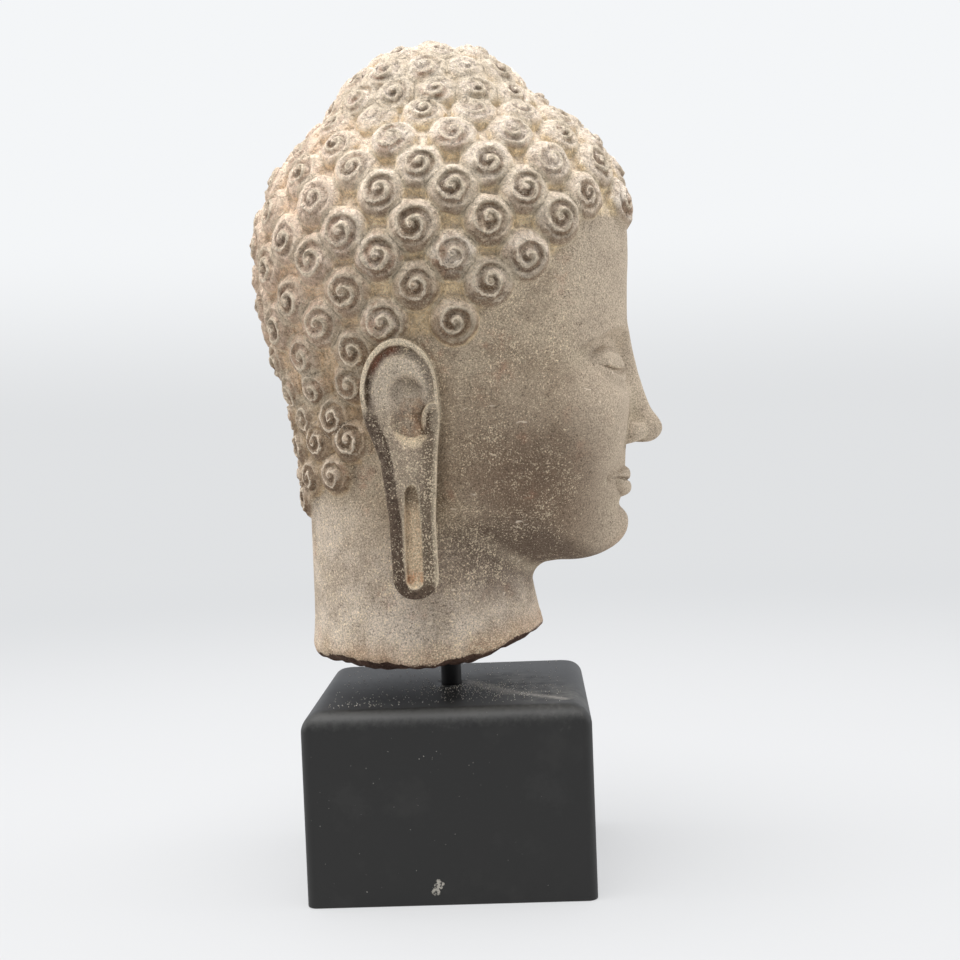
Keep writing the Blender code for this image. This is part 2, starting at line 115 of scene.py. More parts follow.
HAIRLINE = 374.0
CHIN_UNDER = 184.0
THIRD = (HAIRLINE - CHIN_UNDER) / 3.0
BROW = HAIRLINE - THIRD
NOSE_BASE = BROW - THIRD
MOUTH = NOSE_BASE - THIRD / 3.0
EYE = BROW - 14.0
EYE_WIDTH = 30.0
FACE_BLOCK = ((0.0, -37.0, 282.0), (71.0, 75.0, 106.0), 130.0)      # middle, half sizes, half height above
JAW = ((48.0, -16.0, 226.0), (17.0, -78.0, 201.0), 19.0, 16.0)      # both ends and their radii
CHEEK = ((36.0, -72.0, 262.0), (30.0, 31.0, 34.0))
LIPS_MASS = ((0.0, -76.0, MOUTH + 2.0), (33.0, 28.5, 25.0))
CHIN = ((0.0, -86.0, CHIN_UNDER + 17.0), (23.0, 22.0, 17.0))
NOSE_BRIDGE = ((0.0, -103.5, BROW - 2.0), (0.0, -117.5, NOSE_BASE + 14.0), 5.2, 7.6)
NOSE_WING = ((10.4, -108.5, NOSE_BASE + 7.0), (7.2, 10.0, 7.0))
NOSE_TIP = ((0.0, -118.5, NOSE_BASE + 8.5), (9.6, 11.5, 8.5))
NOSTRIL = ((6.4, -113.5, NOSE_BASE - 0.6), (3.4, 5.2, 3.6))
BROW_ARCH = 13.0
BROW_RIDGE = 1.5
EYE_HOLLOW = 6.4
LID_FULL = 4.8
BALL_FULL = 2.0
POUCH_FULL = 3.6
LIP_TOP = 8.2
LIP_LOW = 9.0

EAR_TOP = 310.5
EAR_END = 168.5
EAR_FRONT = -4.0
EAR_OUT = 84.0
EAR_FLARE = 0.14
EAR_LEAN = 0.02
EAR_Y = 17.5
EAR_HALF_WIDTH = 20.8
EAR_ROUND = 29.0                # half height of the ear's round top
EAR_THICK = 14.0
LOBE_ROUND = 7.0
LOBE_THINNER = 2.0
LOBE_Y = 12.9
LOBE_HALF_WIDTH = 12.4
SLOT_Y = LOBE_Y + 0.3
SLOT_TOP = 226.0
SLOT_END = 180.0
SLOT_HALF_WIDTH = 5.0
RIM_TROUGH = 3.8
LOBE_BEVEL = 7.8
BOWL_TOP = ((14.7, 283.0), (9.2, 8.4))      # ovals in side view: middle, half sizes
BOWL = ((11.8, 265.5), (11.2, 16.5))
EAR_FLAP = ((-0.6, 265.5), (6.4, 9.6))
LOBE_NICK = ((25.2, 183.0), (2.6, 2.0))
HAIR_BED = 1.5                  # how much the ground between the curls is sunk

CURLS_ROUND = 15
CURLS_ROUND_NAPE = 19
NAPE_BEGINS = 292.0
NAPE = 216.0
FIRST_ROW = 387.0
FIRST_TURN = -0.005
ROW_GAP = 16.8
CURL_TIGHTEST = 21.5
CURL_FILL = 0.5
CURL_LEAST = 11.6
CURL_SKIRT = 1.14               # how far each curl's foot runs under its neighbours
CURL_TURNS = 2.35
CURL_RIDGE = 0.52               # where the ridge lies between one turn and the next
# Each form's depth of groove, rise of boss, and share of all the curls.
CURL_FORMS = ((0.23, 0.612, 0.40), (0.20, 0.602, 0.30), (0.17, 0.587, 0.22), (0.13, 0.55, 0.08))
HAND_SET = 2.0                  # how far a curl may stray from its even place
NEAR_A_CURL = 2.5               # stone further than this from a curl's skin shows no groove


def egg(x, y, z, centre, radii, up=None):
    """A rounded mass; its upper half can have a height of its own."""
    dx = x - centre[0]
    dy = y - centre[1]
    dz = z - centre[2]
    tall = radii[2] if up is None else np.where(dz > 0.0, up, radii[2])
    a = np.sqrt((dx / radii[0]) ** 2 + (dy / radii[1]) ** 2 + (dz / tall) ** 2)
    b = np.sqrt((dx / radii[0] ** 2) ** 2 + (dy / radii[1] ** 2) ** 2 + (dz / tall ** 2) ** 2)
    return a * (a - 1.0) / np.maximum(b, 1e-9)


def roll(x, y, z, start, end, r_start, r_end):
    """A rounded bar that runs from one point to another and may taper."""
    ax = end[0] - start[0]
    ay = end[1] - start[1]
    az = end[2] - start[2]
    length_squared = ax * ax + ay * ay + az * az
    t = ((x - start[0]) * ax + (y - start[1]) * ay + (z - start[2]) * az) / length_squared
    t = np.clip(t, 0.0, 1.0)
    gap = (x - start[0] - t * ax) ** 2 + (y - start[1] - t * ay) ** 2 + (z - start[2] - t * az) ** 2
    return np.sqrt(gap) - (r_start + (r_end - r_start) * t)


def join(a, b, soft):
    """Both masses, with the corner between them filled to a soft hollow."""
    h = np.maximum(soft - np.abs(a - b), 0.0) / soft
    return np.minimum(a, b) - h * h * soft * 0.25


def carve(a, b, soft):
    """The first mass with the second cut away, its edge softened."""
    h = np.maximum(soft - np.abs(a + b), 0.0) / soft
    return np.maximum(a, -b) + h * h * soft * 0.25


def keep(a, b, soft):
    """Only what both masses share, its edge softened."""
    h = np.maximum(soft - np.abs(a - b), 0.0) / soft
    return np.maximum(a, b) + h * h * soft * 0.25


def share(t):
    """t, held between 0 and 1."""
    return np.clip(t, 0.0, 1.0)


def step(t):
    """A smooth rise from 0 to 1 as t goes from 0 to 1."""
    t = share(t)
    return t * t * (3.0 - 2.0 * t)


def swelling(t):
    """1 where t is 0, and a smooth fall on both sides of it."""
    return np.exp(-t ** 2)


def half_round(t):
    """Half a circle's height over t, which is -1 at one end and 1 at the other."""
    return np.sqrt(share(1.0 - t ** 2))


def oval(a, b, middle, half_size):
    """How far places on a plane are from the middle of an oval: 1 on its outline."""
    return np.sqrt(((a - middle[0]) / half_size[0]) ** 2 + ((b - middle[1]) / half_size[1]) ** 2)


def scalp(x, y, z):
    """Skull, crown dome and neck with no hair, ears or face."""
    lean = SKULL_LEAN * step((z - SKULL_HEIGHT) / 50.0)
    skull = egg(x, y + lean, z, (0.0, MIDDLE_Y, SKULL_HEIGHT),
                (SKULL_HALF_WIDTH, SKULL_HALF_DEPTH, SKULL_DOWN), SKULL_UP)
    crown = egg(x, y, z, (0.0, CROWN_Y, CROWN_HEIGHT),
                (CROWN_HALF_WIDTH, CROWN_HALF_DEPTH, CROWN_RISE))
    waist = 1.0 + 0.045 * ((z - NECK_WAIST) / 40.0) ** 2 * (z < NECK_WAIST)
    across = np.sqrt((x / NECK_HALF_WIDTH) ** 2 + ((y - NECK_Y) / NECK_HALF_DEPTH) ** 2)
    neck = (across - waist) * NECK_HALF_WIDTH
    neck = keep(neck, z - NECK_TOP, 20.0)
    return join(join(skull, crown, 9.0), neck, 26.0)


def read_grid(grid, cell, across):
    """A grid's values between its cells, from each point's cell and how far it is across it."""
    value = 0.0
    for i, j, k in itertools.product((0, 1), repeat=3):
        weight = (across[:, 0] if i else 1 - across[:, 0]) * (across[:, 1] if j else 1 - across[:, 1])
        weight = weight * (across[:, 2] if k else 1 - across[:, 2])
        value = value + weight * grid[cell[:, 0] + i, cell[:, 1] + j, cell[:, 2] + k]
    return value


class Block:
    """A box of stone held as distances to its skin (negative inside) on a regular grid."""

    def __init__(self, low, high, cell):
        self.cell = cell
        self.low = np.array(low)
        self.axes = [np.arange(low[i], high[i], cell).astype(np.float32) for i in range(3)]
        self.depth = np.full([len(a) for a in self.axes], FAR_OFF, dtype=np.float32)

    def work(self, low, high, change):
        """Let a function of (distance, x, y, z) reshape the stone inside a box, slab by slab."""
        cuts = []
        for i in range(3):
            first = max(int((low[i] - self.low[i]) / self.cell), 0)
            last = max(int((high[i] - self.low[i]) / self.cell) + 2, first + 1)
            cuts.append(slice(first, min(last, len(self.axes[i]))))
        y = self.axes[1][cuts[1]][None, :, None]
        z = self.axes[2][cuts[2]][None, None, :]
        for first in range(cuts[0].start, cuts[0].stop, SLAB):
            slab = (slice(first, min(first + SLAB, cuts[0].stop)), cuts[1], cuts[2])
            x = self.axes[0][slab[0]][:, None, None]
            self.depth[slab] = change(self.depth[slab], x, y, z)

    def add(self, points, triangles, soft):
        """Melt closed meshes into the stone, with soft hollows round them."""
        ratio = 1.0 / self.cell
        reach = 7.0             # cells to each side of the meshes' skin
        grain = openvdb.createLinearTransform(voxelSize=1.0)
        lumps = openvdb.FloatGrid.createLevelSetFromPolygons(
            ((points - self.low) * ratio).astype(np.float32), triangles=triangles.astype(np.uint32),
            transform=grain, halfWidth=reach)
        near = np.empty(self.depth.shape, dtype=np.float32)
        lumps.copyToArray(near)
        for first in range(0, len(self.depth), SLAB):
            slab = slice(first, first + SLAB)
            lump = np.where(near[slab] > reach - 0.1, FAR_OFF, near[slab] * self.cell)
            self.depth[slab] = join(self.depth[slab], lump, soft)

    def read(self, points):
        """Distances to the skin at any points, read between the grid's cells."""
        at = (points - self.low) / self.cell
        top = np.array(self.depth.shape) - 2
        base = np.clip(np.floor(at).astype(int), 0, top)
        return read_grid(self.depth, base, share(at - base))

    def skin(self):
        """The stone's surface as points in millimetres and quads."""
        grid = openvdb.FloatGrid(background=FAR_OFF)
        grid.copyFromArray(self.depth)
        points, quads = grid.convertToQuads(0.0)
        return points * self.cell + self.low, quads[:, ::-1]


def skull_and_jaw(d, x, y, z):
    """Skull, neck, face block, jaw, cheeks and chin."""
    x = np.abs(x)
    face = join(egg(x, y, z, *FACE_BLOCK), roll(x, y, z, *JAW), 22.0)
    d = join(scalp(x, y, z), face, 10.0)
    for mass, soft in ((CHEEK, 16.0), (LIPS_MASS, 12.0), (CHIN, 13.0)):
        d = join(d, egg(x, y, z, *mass), soft)
    return d


def brow_relief(x, z):
    """A fine ridge along each arched brow, with a hollow under it that is deepest beside the nose."""
    t = share((x - 7.0) / 58.0)
    arch = BROW - 7.0 + BROW_ARCH * np.abs(np.sin(math.pi * t ** 0.8)) ** 0.9 - 5.0 * t
    drop = arch - z
    hollow = step(drop / 7.0) * step((z - EYE + 24.0) / 24.0)
    hollow = hollow * step((70.0 - x) / 44.0) * step((x - 3.0) / 11.0)
    ridge = swelling((drop + 0.6) / 1.8) * step((65.0 - x) / 16.0) * step((x - 6.0) / 8.0)
    return BROW_RIDGE * ridge - EYE_HOLLOW * hollow


def eye_relief(x, z):
    """A lowered eye: a full upper lid, a narrow opening and a soft lower lid, each with a crisp edge."""
    t = (x - EYE_WIDTH - 1.0) / (0.58 * EYE_WIDTH)
    bow = share(1.0 - t * t)
    line = EYE - 4.6 + 1.3 * t - 1.6 * bow
    fold = line + 3.0 + 10.0 * bow ** 0.7
    under = line - 3.9 * bow ** 0.8
    upper = share((z - line) / np.maximum(fold - line, 0.1))
    width = step((1.10 - np.abs(t)) / 0.42)
    lid = LID_FULL * half_round(1.5 * upper - 0.5) * step((z - line) / 0.8)
    ball = BALL_FULL * step((z - under) / 0.8) * step((line + 0.8 - z) / 0.8)
    pouch = POUCH_FULL * (1.0 - step((under - z) / 8.0)) * step((under + 0.8 - z) / 0.8)
    return (lid + ball + pouch) * width


def brows_and_eyes(d, x, y, z):
    """Brows and eyes, cut into the front of the face alone."""
    x = np.abs(x)
    return d - (brow_relief(x, z) + eye_relief(x, z)) * step((-50.0 - y) / 20.0)


def nose(d, x, y, z):
    """A straight nose with a rounded tip and full wings."""
    x = np.abs(x)
    d = join(d, roll(x, y, z, *NOSE_BRIDGE), 10.0)
    d = join(d, egg(x, y, z, *NOSE_WING), 2.4)
    d = join(d, egg(x, y, z, *NOSE_TIP), 6.0)
    return carve(d, egg(x, y, z, *NOSTRIL), 1.5)


def lip_relief(x, z):
    """Full closed lips with a bow above, a lifted line between them and small hollows at the ends."""
    line = MOUTH + 0.0040 * x * x - 1.2 * swelling(x / 4.5)
    top = LIP_TOP * share(1.0 - (x / 27.0) ** 2) ** 0.8 * (1.0 - 0.20 * swelling(x / 3.6))
    low = LIP_LOW * share(1.0 - (x / 24.5) ** 2) ** 0.55
    u = (z - line) / np.maximum(top, 0.6)
    v = (line - z) / np.maximum(low, 0.6)
    upper = half_round((u - 0.36) / 0.64) * (u >= 0.0)
    under = half_round((v - 0.42) / 0.58) * (v > 0.0)
    ends = half_round(x / 28.0)
    full = 3.8 * upper * ends + 4.6 * under * ends
    cut = 1.9 * swelling((z - line) / 0.9) * step((29.0 - x) / 5.0)
    chin_fold = 2.4 * swelling((z - MOUTH + 14.5) / 4.2) * swelling(x / 17.0)
    above = step((z - line - top + 1.0) / 3.0) * step((NOSE_BASE + 1.0 - z) / 3.0)
    channel = 1.3 * swelling(x / 2.8) * above - 0.5 * swelling((x - 5.2) / 2.0) * above
    corner = 2.2 * np.exp(-((x - 29.0) / 3.6) ** 2 - ((z - MOUTH - 3.4) / 3.4) ** 2)
    return full - cut - chin_fold - channel - corner


def lips(d, x, y, z):
    """The lips, cut into the front of the face alone."""
    return d - lip_relief(np.abs(x), z) * step((-80.0 - y) / 10.0)


def ear_outline(y, z):
    """Signed distance from the ear's outline in side view."""
    round_top = EAR_TOP - EAR_ROUND
    upper = (oval(y, z, (EAR_Y, round_top), (EAR_HALF_WIDTH, EAR_ROUND)) - 1.0) * 22.0
    start = round_top - 18.0
    start_half_width = 17.0
    end = EAR_END + LOBE_HALF_WIDTH
    t = share((start - z) / (start - end))
    middle = EAR_Y - 3.0 + (LOBE_Y - EAR_Y + 3.0) * t
    wide = start_half_width + (LOBE_HALF_WIDTH - start_half_width) * np.minimum(t * 1.6, 1.0)
    below = np.maximum(end - z, 0.0)
    above = np.maximum(z - start, 0.0)
    lower = np.sqrt((y - middle) ** 2 + below ** 2 + above ** 2) - wide
    return keep(join(upper, lower, 12.0), EAR_FRONT - y, 4.0)


def ear_rim(y):
    """Width of the ear's rolled rim, which narrows to the front."""
    return 2.2 - 1.2 * step((6.0 - y) / 9.0)


def ear_face(y, z):
    """How far out from the middle of the head the ear's highest plane stands."""
    return EAR_OUT + EAR_FLARE * (y - EAR_FRONT) - EAR_LEAN * (EAR_TOP - z)


def lobe_rear(y, z):
    """1 along the back and the end of the lobe, where its edge is bevelled."""
    return np.maximum(step((y - LOBE_Y - 1.0) / 4.0), step((EAR_END + 9.0 - z) / 6.0))


def slot_gap(y, z):
    """Signed distance from the outline of the lobe's slot, in side view."""
    narrow = SLOT_HALF_WIDTH - 0.05 * np.maximum(z - 205.0, 0.0)
    away = 0.35 * np.maximum(z - SLOT_TOP, 0.0) ** 2 + np.maximum(SLOT_END - z, 0.0) ** 2
    return np.sqrt((y - SLOT_Y) ** 2 + away) - narrow


def ear_relief(y, z):
    """How deep the ear's outer face lies below its highest plane, in side view."""
    inside = -ear_outline(y, z)
    up = step((z - 264.0) / 16.0)
    rear = step((y - 4.0) / 10.0)
    past_rim = inside - ear_rim(y)
    trough = RIM_TROUGH * step(past_rim) * share(1.0 - (past_rim - 1.0) / 5.5)
    plate = 0.8 * step((past_rim - 1.0) / 4.0)
    behind = lobe_rear(y, z)
    bevel = 0.52 * np.maximum(LOBE_BEVEL - inside, 0.0) * behind
    front = 0.12 * np.maximum(LOBE_Y - y, 0.0) - 0.4 * swelling((inside - 0.9) / 0.7) * (1.0 - behind)
    depth = (trough * (0.5 + 0.5 * rear) + plate) * up + (bevel + front) * (1.0 - up)
    upper = 8.5 * oval(y, z, *BOWL_TOP) - 8.5
    lower = 11.0 * oval(y, z, *BOWL) - 11.0
    slope = 3.4 + 5.0 * step((262.0 - z) / 8.0)
    depth = depth + (4.4 + 1.2 * step((276.0 - z) / 8.0)) * step((0.6 - join(upper, lower, 9.0)) / slope)
    flap = oval(y, z, *EAR_FLAP)
    over = step((1.16 - flap) / 0.16) * step((z - 256.0) / 6.0) * step((y + 5.5) / 2.0)
    lip = swelling((flap - 0.94) / 0.17) * step((z - 260.0) / 6.0)
    depth = depth * (1.0 - over) + over * (2.8 - 3.3 * lip)
    ground = np.clip(1.0 + 0.5 * (y - SLOT_Y + SLOT_HALF_WIDTH), 0.8, 6.0)
    depth = depth + ground * step(-slot_gap(y, z) / 1.1)
    return depth + 1.6 * step((1.1 - oval(y, z, *LOBE_NICK)) / 0.5)


def ears(d, x, y, z):
    """Raised ears: a thin rim above, a bowl with its small flap, and a long bevelled lobe with a slot."""
    x = np.abs(x)
    out = ear_face(y, z)
    flat = ear_outline(y, z)
    under = np.clip(EAR_END + LOBE_ROUND - z, 0.0, LOBE_ROUND)
    tuck = LOBE_ROUND - np.sqrt(LOBE_ROUND ** 2 - under ** 2)
    thick = EAR_THICK - LOBE_THINNER * step((EAR_TOP - 64.0 - z) / 60.0)
    slab = keep(keep(flat, 0.8 * (x - out + ear_relief(y, z)), 0.9), out - thick + tuck - x, 4.0)
    web = keep(keep(flat + 6.0, x - out + 7.0, 3.0), 40.0 - x, 2.0)
    return join(join(d, web, 7.0), slab, 1.2)


def neck_foot(d, x, y, z):
    """The front of the neck spreads a little where it is broken off."""
    tip = FOOT_TIP * swelling((z - 142.0) / 4.5) * step((-34.0 - y) / 12.0)
    return d - FOOT_SPREAD * np.maximum(FOOT_BEGINS - z, 0.0) * step((-12.0 - y) / 30.0) - tip


def hair_bed(d, x, y, z):
    """The ground between the curls, cut back below the skin of the forehead and neck."""
    return d + HAIR_BED * step((z - hair_starts(y) + 2.0) / 9.0)


def break_height(x, y):
    """Height of the neck's broken end before it is roughened."""
    back = np.maximum(y - BREAK_Y, 0.0) ** 2 * BREAK_RISE_BACK
    front = np.maximum(BREAK_Y - y, 0.0) ** 2 * BREAK_RISE_FRONT
    return BREAK_LOW + back + front + x * x * BREAK_RISE_SIDE


def broken_neck(d, x, y, z):
    """The rough broken end, and the round hole drilled up into it for the rod."""
    rough = 1.2 * np.sin(0.13 * x + 0.9) * np.sin(0.11 * y + 0.4) + 0.7 * np.sin(0.21 * x - 0.13 * y)
    rough = rough + 0.3 * np.sin(0.55 * y + 0.31 * x + 1.1)
    flakes = np.sin(0.16 * x + 0.9 * np.sin(0.21 * y)) * np.sin(0.19 * y + 1.0)
    chips = CHIP_DEPTH * step((d + 6.0) / 6.0) * (0.5 + 0.5 * flakes)
    d = keep(d, break_height(x, y) + rough + chips - z, 3.2)
    return carve(d, np.maximum(np.sqrt(x * x + y * y) - ROD_HOLE, z - ROD_HOLE_TOP), 0.6)


def ring_at(height, count=240):
    """Points round the scalp at one height, by halving a distance until it meets the surface."""
    angle = np.arange(count) / count * 2.0 * math.pi - math.pi / 2.0
    near = np.zeros(count)
    far = np.full(count, 160.0)
    for _ in range(26):
        half = 0.5 * (near + far)
        inside = scalp(half * np.cos(angle), MIDDLE_Y + half * np.sin(angle), height) < 0.0
        near = np.where(inside, half, near)
        far = np.where(inside, far, half)
    return near * np.cos(angle), MIDDLE_Y + near * np.sin(angle)


def outward(point):
    """Direction out of the scalp at a point."""
    e = 0.5
    x, y, z = point
    n = np.array([scalp(x + e, y, z) - scalp(x - e, y, z),
                  scalp(x, y + e, z) - scalp(x, y - e, z),
                  scalp(x, y, z + e) - scalp(x, y, z - e)], dtype=float)
    return n / np.linalg.norm(n)


def hair_starts(y):
    """Lowest height of the hair at a distance y from front to back."""
    temple = HAIRLINE - 14.0
    over_ear = EAR_TOP - 2.0
    slope = temple + (over_ear - temple) * share((y + 80.0) / 70.0)
    slope = slope + (HAIRLINE - temple) * step((-80.0 - y) / 5.0)
    behind = NAPE + 24.0 * share((78.0 - y) / 28.0)
    drop = step((y - 36.0) / 6.0)
    return slope * (1.0 - drop) + behind * drop


def ring_of_curls(height, half_turn):
    """One ring of curls at a height: their places, and how far up the next ring is."""
    x, y = ring_at(height)
    x = np.append(x, x[0])
    y = np.append(y, y[0])
    along = np.concatenate([[0.0], np.cumsum(np.hypot(np.diff(x), np.diff(y)))])
    around = along[-1]
    count = CURLS_ROUND if height > NAPE_BEGINS else CURLS_ROUND_NAPE
    count = max(min(count, int(around / CURL_TIGHTEST)), 1)
    places = []
    for k in range(count):
        turn = (k + 0.5 * half_turn) / count + FIRST_TURN
        at = around * (turn % 1.0) + HAND_SET * math.sin(12.9 * k + 0.37 * height)
        point = np.array([np.interp(at, along, x), np.interp(at, along, y), height])
        point[2] += HAND_SET * math.cos(7.1 * k + 0.53 * height)
        if point[2] > hair_starts(point[1]):
            for _ in range(3):
                facing = outward(point)
                point = point - facing * (scalp(*point) + HAIR_BED)
            radius = max(CURL_FILL * math.hypot(0.5 * around / count, ROW_GAP), CURL_LEAST)
            places.append((point, facing, radius))
    side = outward(np.array([x[len(x) // 4], y[len(y) // 4], height]))
    return places, ROW_GAP * math.sqrt(max(1.0 - side[2] ** 2, 0.09)), around


def curl_places():
    """Every curl's middle, outward direction and radius, ring by ring from the hairline."""
    places = []
    for way in (1, -1):
        height = FIRST_ROW
        turn = 1
        while height > NAPE - 4.0:
            ring, up, around = ring_of_curls(height, turn % 2)
            if around < 2.4 * CURL_TIGHTEST:
                break
            if way > 0 or turn > 1:
                places.extend(ring)
            height += way * up
            turn += 1
    top = CROWN_HEIGHT + CROWN_RISE - HAIR_BED
    places.append((np.array([0.0, CROWN_Y, top]), np.array([0.0, 0.0, 1.0]), 0.52 * CURL_TIGHTEST))
    return places


def mesh_of(name, points, faces):
    """A new mesh from lists of points and faces."""
    mesh = bpy.data.meshes.new(name)
    mesh.from_pydata(points, [], faces)
    return mesh


def note(mesh, name, values, kind="FLOAT"):
    """Keep a number or a direction for each point of a mesh."""
    sort = np.int32 if kind == "INT" else np.float32
    field = "vector" if kind == "FLOAT_VECTOR" else "value"
    mesh.attributes.new(name, kind, "POINT").data.foreach_set(field, np.asarray(values, dtype=sort).ravel())


def curl_form(name, depth, rise, spokes=64, rings=30):
    """A snail-shell curl of radius 1: a round boss with one rounded ridge wound outward over it."""
    angle = 2.0 * math.pi * np.arange(spokes) / spokes
    foot_height = -0.5          # the form's closed foot lies inside the stone
    points = [(0.0, 0.0, foot_height)]
    for r in range(rings + 1):
        far = r / rings
        into = (CURL_TURNS * far + angle / (2.0 * math.pi)) % 1.0
        ridge = swelling((into - CURL_RIDGE) / 0.24)
        ridge = np.maximum(ridge, step((0.17 - far) / 0.08))
        dome = 0.82 * max(1.0 - far ** 2.6, 0.0) ** 0.5 + 0.18 * max(1.0 - (far / 0.78) ** 2.0, 0.0) ** 0.6
        worn = 0.74 + 0.26 * np.cos(angle + 0.8)
        height = rise * dome - depth * worn * (1.0 - ridge) * step((0.76 - far) / 0.14)
        ring = np.stack([far * np.cos(angle), far * np.sin(angle), height], axis=1)
        points.extend(tuple(p) for p in ring)
    points.extend((math.cos(a), math.sin(a), foot_height) for a in angle)
    foot = 1 + (rings + 1) * spokes
    faces = []
    for k in range(spokes):
        after = (k + 1) % spokes
        for r in range(rings):
            a = 1 + r * spokes
            faces.append((a + k, a + spokes + k, a + spokes + after, a + after))
        a = 1 + rings * spokes
        faces.append((a + k, foot + k, foot + after, a + after))
        faces.append((foot + k, 0, foot + after))
    mesh = mesh_of(name, points, faces)
    note(mesh, "whorl", [(px, py, float(pz > foot_height)) for px, py, pz in points], "FLOAT_VECTOR")
    return bpy.data.objects.new(name, mesh)


class Wire:
    """What a node gives out. Plus, minus, times and over on wires add the nodes that work them out."""

    def __init__(self, socket):
        self.socket = socket
        self.tree = socket.id_data

    def __add__(self, other):
        return maths("ADD", self, other)

    def __sub__(self, other):
        return maths("SUBTRACT", self, other)

    def __rsub__(self, other):
        return maths("SUBTRACT", other, self)

    def __mul__(self, other):
        return maths("MULTIPLY", self, other)

    def __truediv__(self, other):
        return maths("DIVIDE", self, other)

    __radd__ = __add__
    __rmul__ = __mul__


def plug(node, values):
    """Set a node's inputs by name or number, or wire them to other nodes."""
    for name, value in values.items():
        if isinstance(value, Wire):
            value.tree.links.new(value.socket, node.inputs[name])
        else:
            node.inputs[name].default_value = value


def put(tree, kind, values=None, out=0, **settings):
    """Add a node with its settings and inputs, and give back one of its outputs."""
    node = tree.nodes.new(kind)
    for name, value in settings.items():
        setattr(node, name, value)
    plug(node, values or {})
    return Wire(node.outputs[out])


def maths(how, a, b=0.0):
    """A number worked out from one or two others, of which one at least is a wire."""
    tree = (a if isinstance(a, Wire) else b).tree
    return put(tree, "ShaderNodeMath", {0: a, 1: b}, operation=how)


def vectors(how, a, b, out=0):
    """A place or a direction worked out from a wire and another or a fixed one."""
    return put(a.tree, "ShaderNodeVectorMath", {0: a, 1: b}, out, operation=how)


def scaled(place, by):
    """A place or a direction made longer or shorter by a number."""
    return put(by.tree, "ShaderNodeVectorMath", {0: place, "Scale": by}, operation="SCALE")


def attribute(tree, name, kind="FLOAT"):
    """A number or a direction noted on the points that a Geometry Nodes tree works on."""
    return put(tree, "GeometryNodeInputNamedAttribute", {"Name": name}, "Attribute", data_type=kind)


def group(name, kind, inputs, outputs):
    """A new node group, the wires that come into it by name, and the node that they leave by."""
    tree = bpy.data.node_groups.new(name, kind)
    for way, sockets in (("INPUT", inputs), ("OUTPUT", outputs)):
        for socket, sort in sockets.items():
            tree.interface.new_socket(socket, in_out=way, socket_type="NodeSocket" + sort)
    given = {socket.name: Wire(socket) for socket in tree.nodes.new("NodeGroupInput").outputs}
    return tree, given, tree.nodes.new("NodeGroupOutput")


def curl_tree():
    """Geometry Nodes: one curl form on every point of the scalp, each a little different."""
    tree, given, end = group(
        "Curls over the scalp", "GeometryNodeTree",
        {"Places": "Geometry", "Curl forms": "Collection", "Size spread": "Float", "Height spread": "Float",
         "Turn spread": "Float", "Hand wobble": "Float", "Stone": "Material", "Seed": "Int"},
        {"Curls": "Geometry"})

    def around_one(spread, salt):
        """A random factor near 1 for each curl."""
        limits = {2: 1.0 - given[spread], 3: 1.0 + given[spread], "Seed": given["Seed"] + salt}
        return put(tree, "FunctionNodeRandomValue", limits, 1, data_type="FLOAT")

    outward_of = attribute(tree, "outward", "FLOAT_VECTOR")
    wide = attribute(tree, "curl_radius") * around_one("Size spread", 3.0)
    tall = wide * around_one("Height spread", 7.0)
    turn = around_one("Turn spread", 11.0) - 1.0
    curls = put(tree, "GeometryNodeInstanceOnPoints", {
        "Points": put(tree, "GeometryNodeMeshToPoints", {"Mesh": given["Places"]}),
        "Instance": put(tree, "GeometryNodeCollectionInfo", {
            "Collection": given["Curl forms"], "Separate Children": True, "Reset Children": True}),
        "Pick Instance": True,
        "Instance Index": attribute(tree, "form", "INT"),
        "Rotation": put(tree, "FunctionNodeAlignRotationToVector", {"Vector": outward_of}, axis="Z"),
        "Scale": put(tree, "ShaderNodeCombineXYZ", {"X": wide, "Y": wide, "Z": tall})})
    curls = put(tree, "GeometryNodeRotateInstances", {
        "Instances": curls, "Rotation": put(tree, "ShaderNodeCombineXYZ", {"Z": turn})})
    curls = put(tree, "GeometryNodeRealizeInstances", {"Geometry": curls})
    wobble = put(tree, "ShaderNodeTexNoise", {"Scale": 0.09, "Detail": 2.0}, "Color")
    wobble = scaled(vectors("SUBTRACT", wobble, (0.5, 0.5, 0.5)), given["Hand wobble"])
    curls = put(tree, "GeometryNodeSetPosition", {"Geometry": curls, "Offset": wobble})
    curls = put(tree, "GeometryNodeSetMaterial", {"Geometry": curls, "Material": given["Stone"]})
    plug(end, {"Curls": curls})
    return tree


def show(name, data):
    """A new object in the scene, at the origin."""
    body = bpy.data.objects.new(name, data)
    bpy.context.scene.collection.objects.link(body)
    return body


def as_plain_mesh(body, name):
    """The object's shape with its modifiers applied, as a mesh of its own."""
    bpy.context.view_layer.update()
    mesh = bpy.data.meshes.new_from_object(body.evaluated_get(bpy.context.evaluated_depsgraph_get()))
    mesh.name = name
    return mesh


def grown(body, tree, values):
    """The plain mesh that a Geometry Nodes tree makes of an object, its inputs set by identifier."""
    modifier = body.modifiers.new(tree.name, "NODES")
    modifier.node_group = tree
    for item in tree.interface.items_tree:
        if item.name in values:
            modifier[item.identifier] = values[item.name]
    mesh = as_plain_mesh(body, body.name)
    body.modifiers.clear()
    return mesh


def mesh_numbers(mesh):
    """A mesh's points and triangles as arrays."""
    mesh.calc_loop_triangles()
    points = np.empty(len(mesh.vertices) * 3, dtype=np.float32)
    mesh.vertices.foreach_get("co", points)
    triangles = np.empty(len(mesh.loop_triangles) * 3, dtype=np.int32)
    mesh.loop_triangles.foreach_get("vertices", triangles)
    return points.reshape(-1, 3), triangles.reshape(-1, 3)


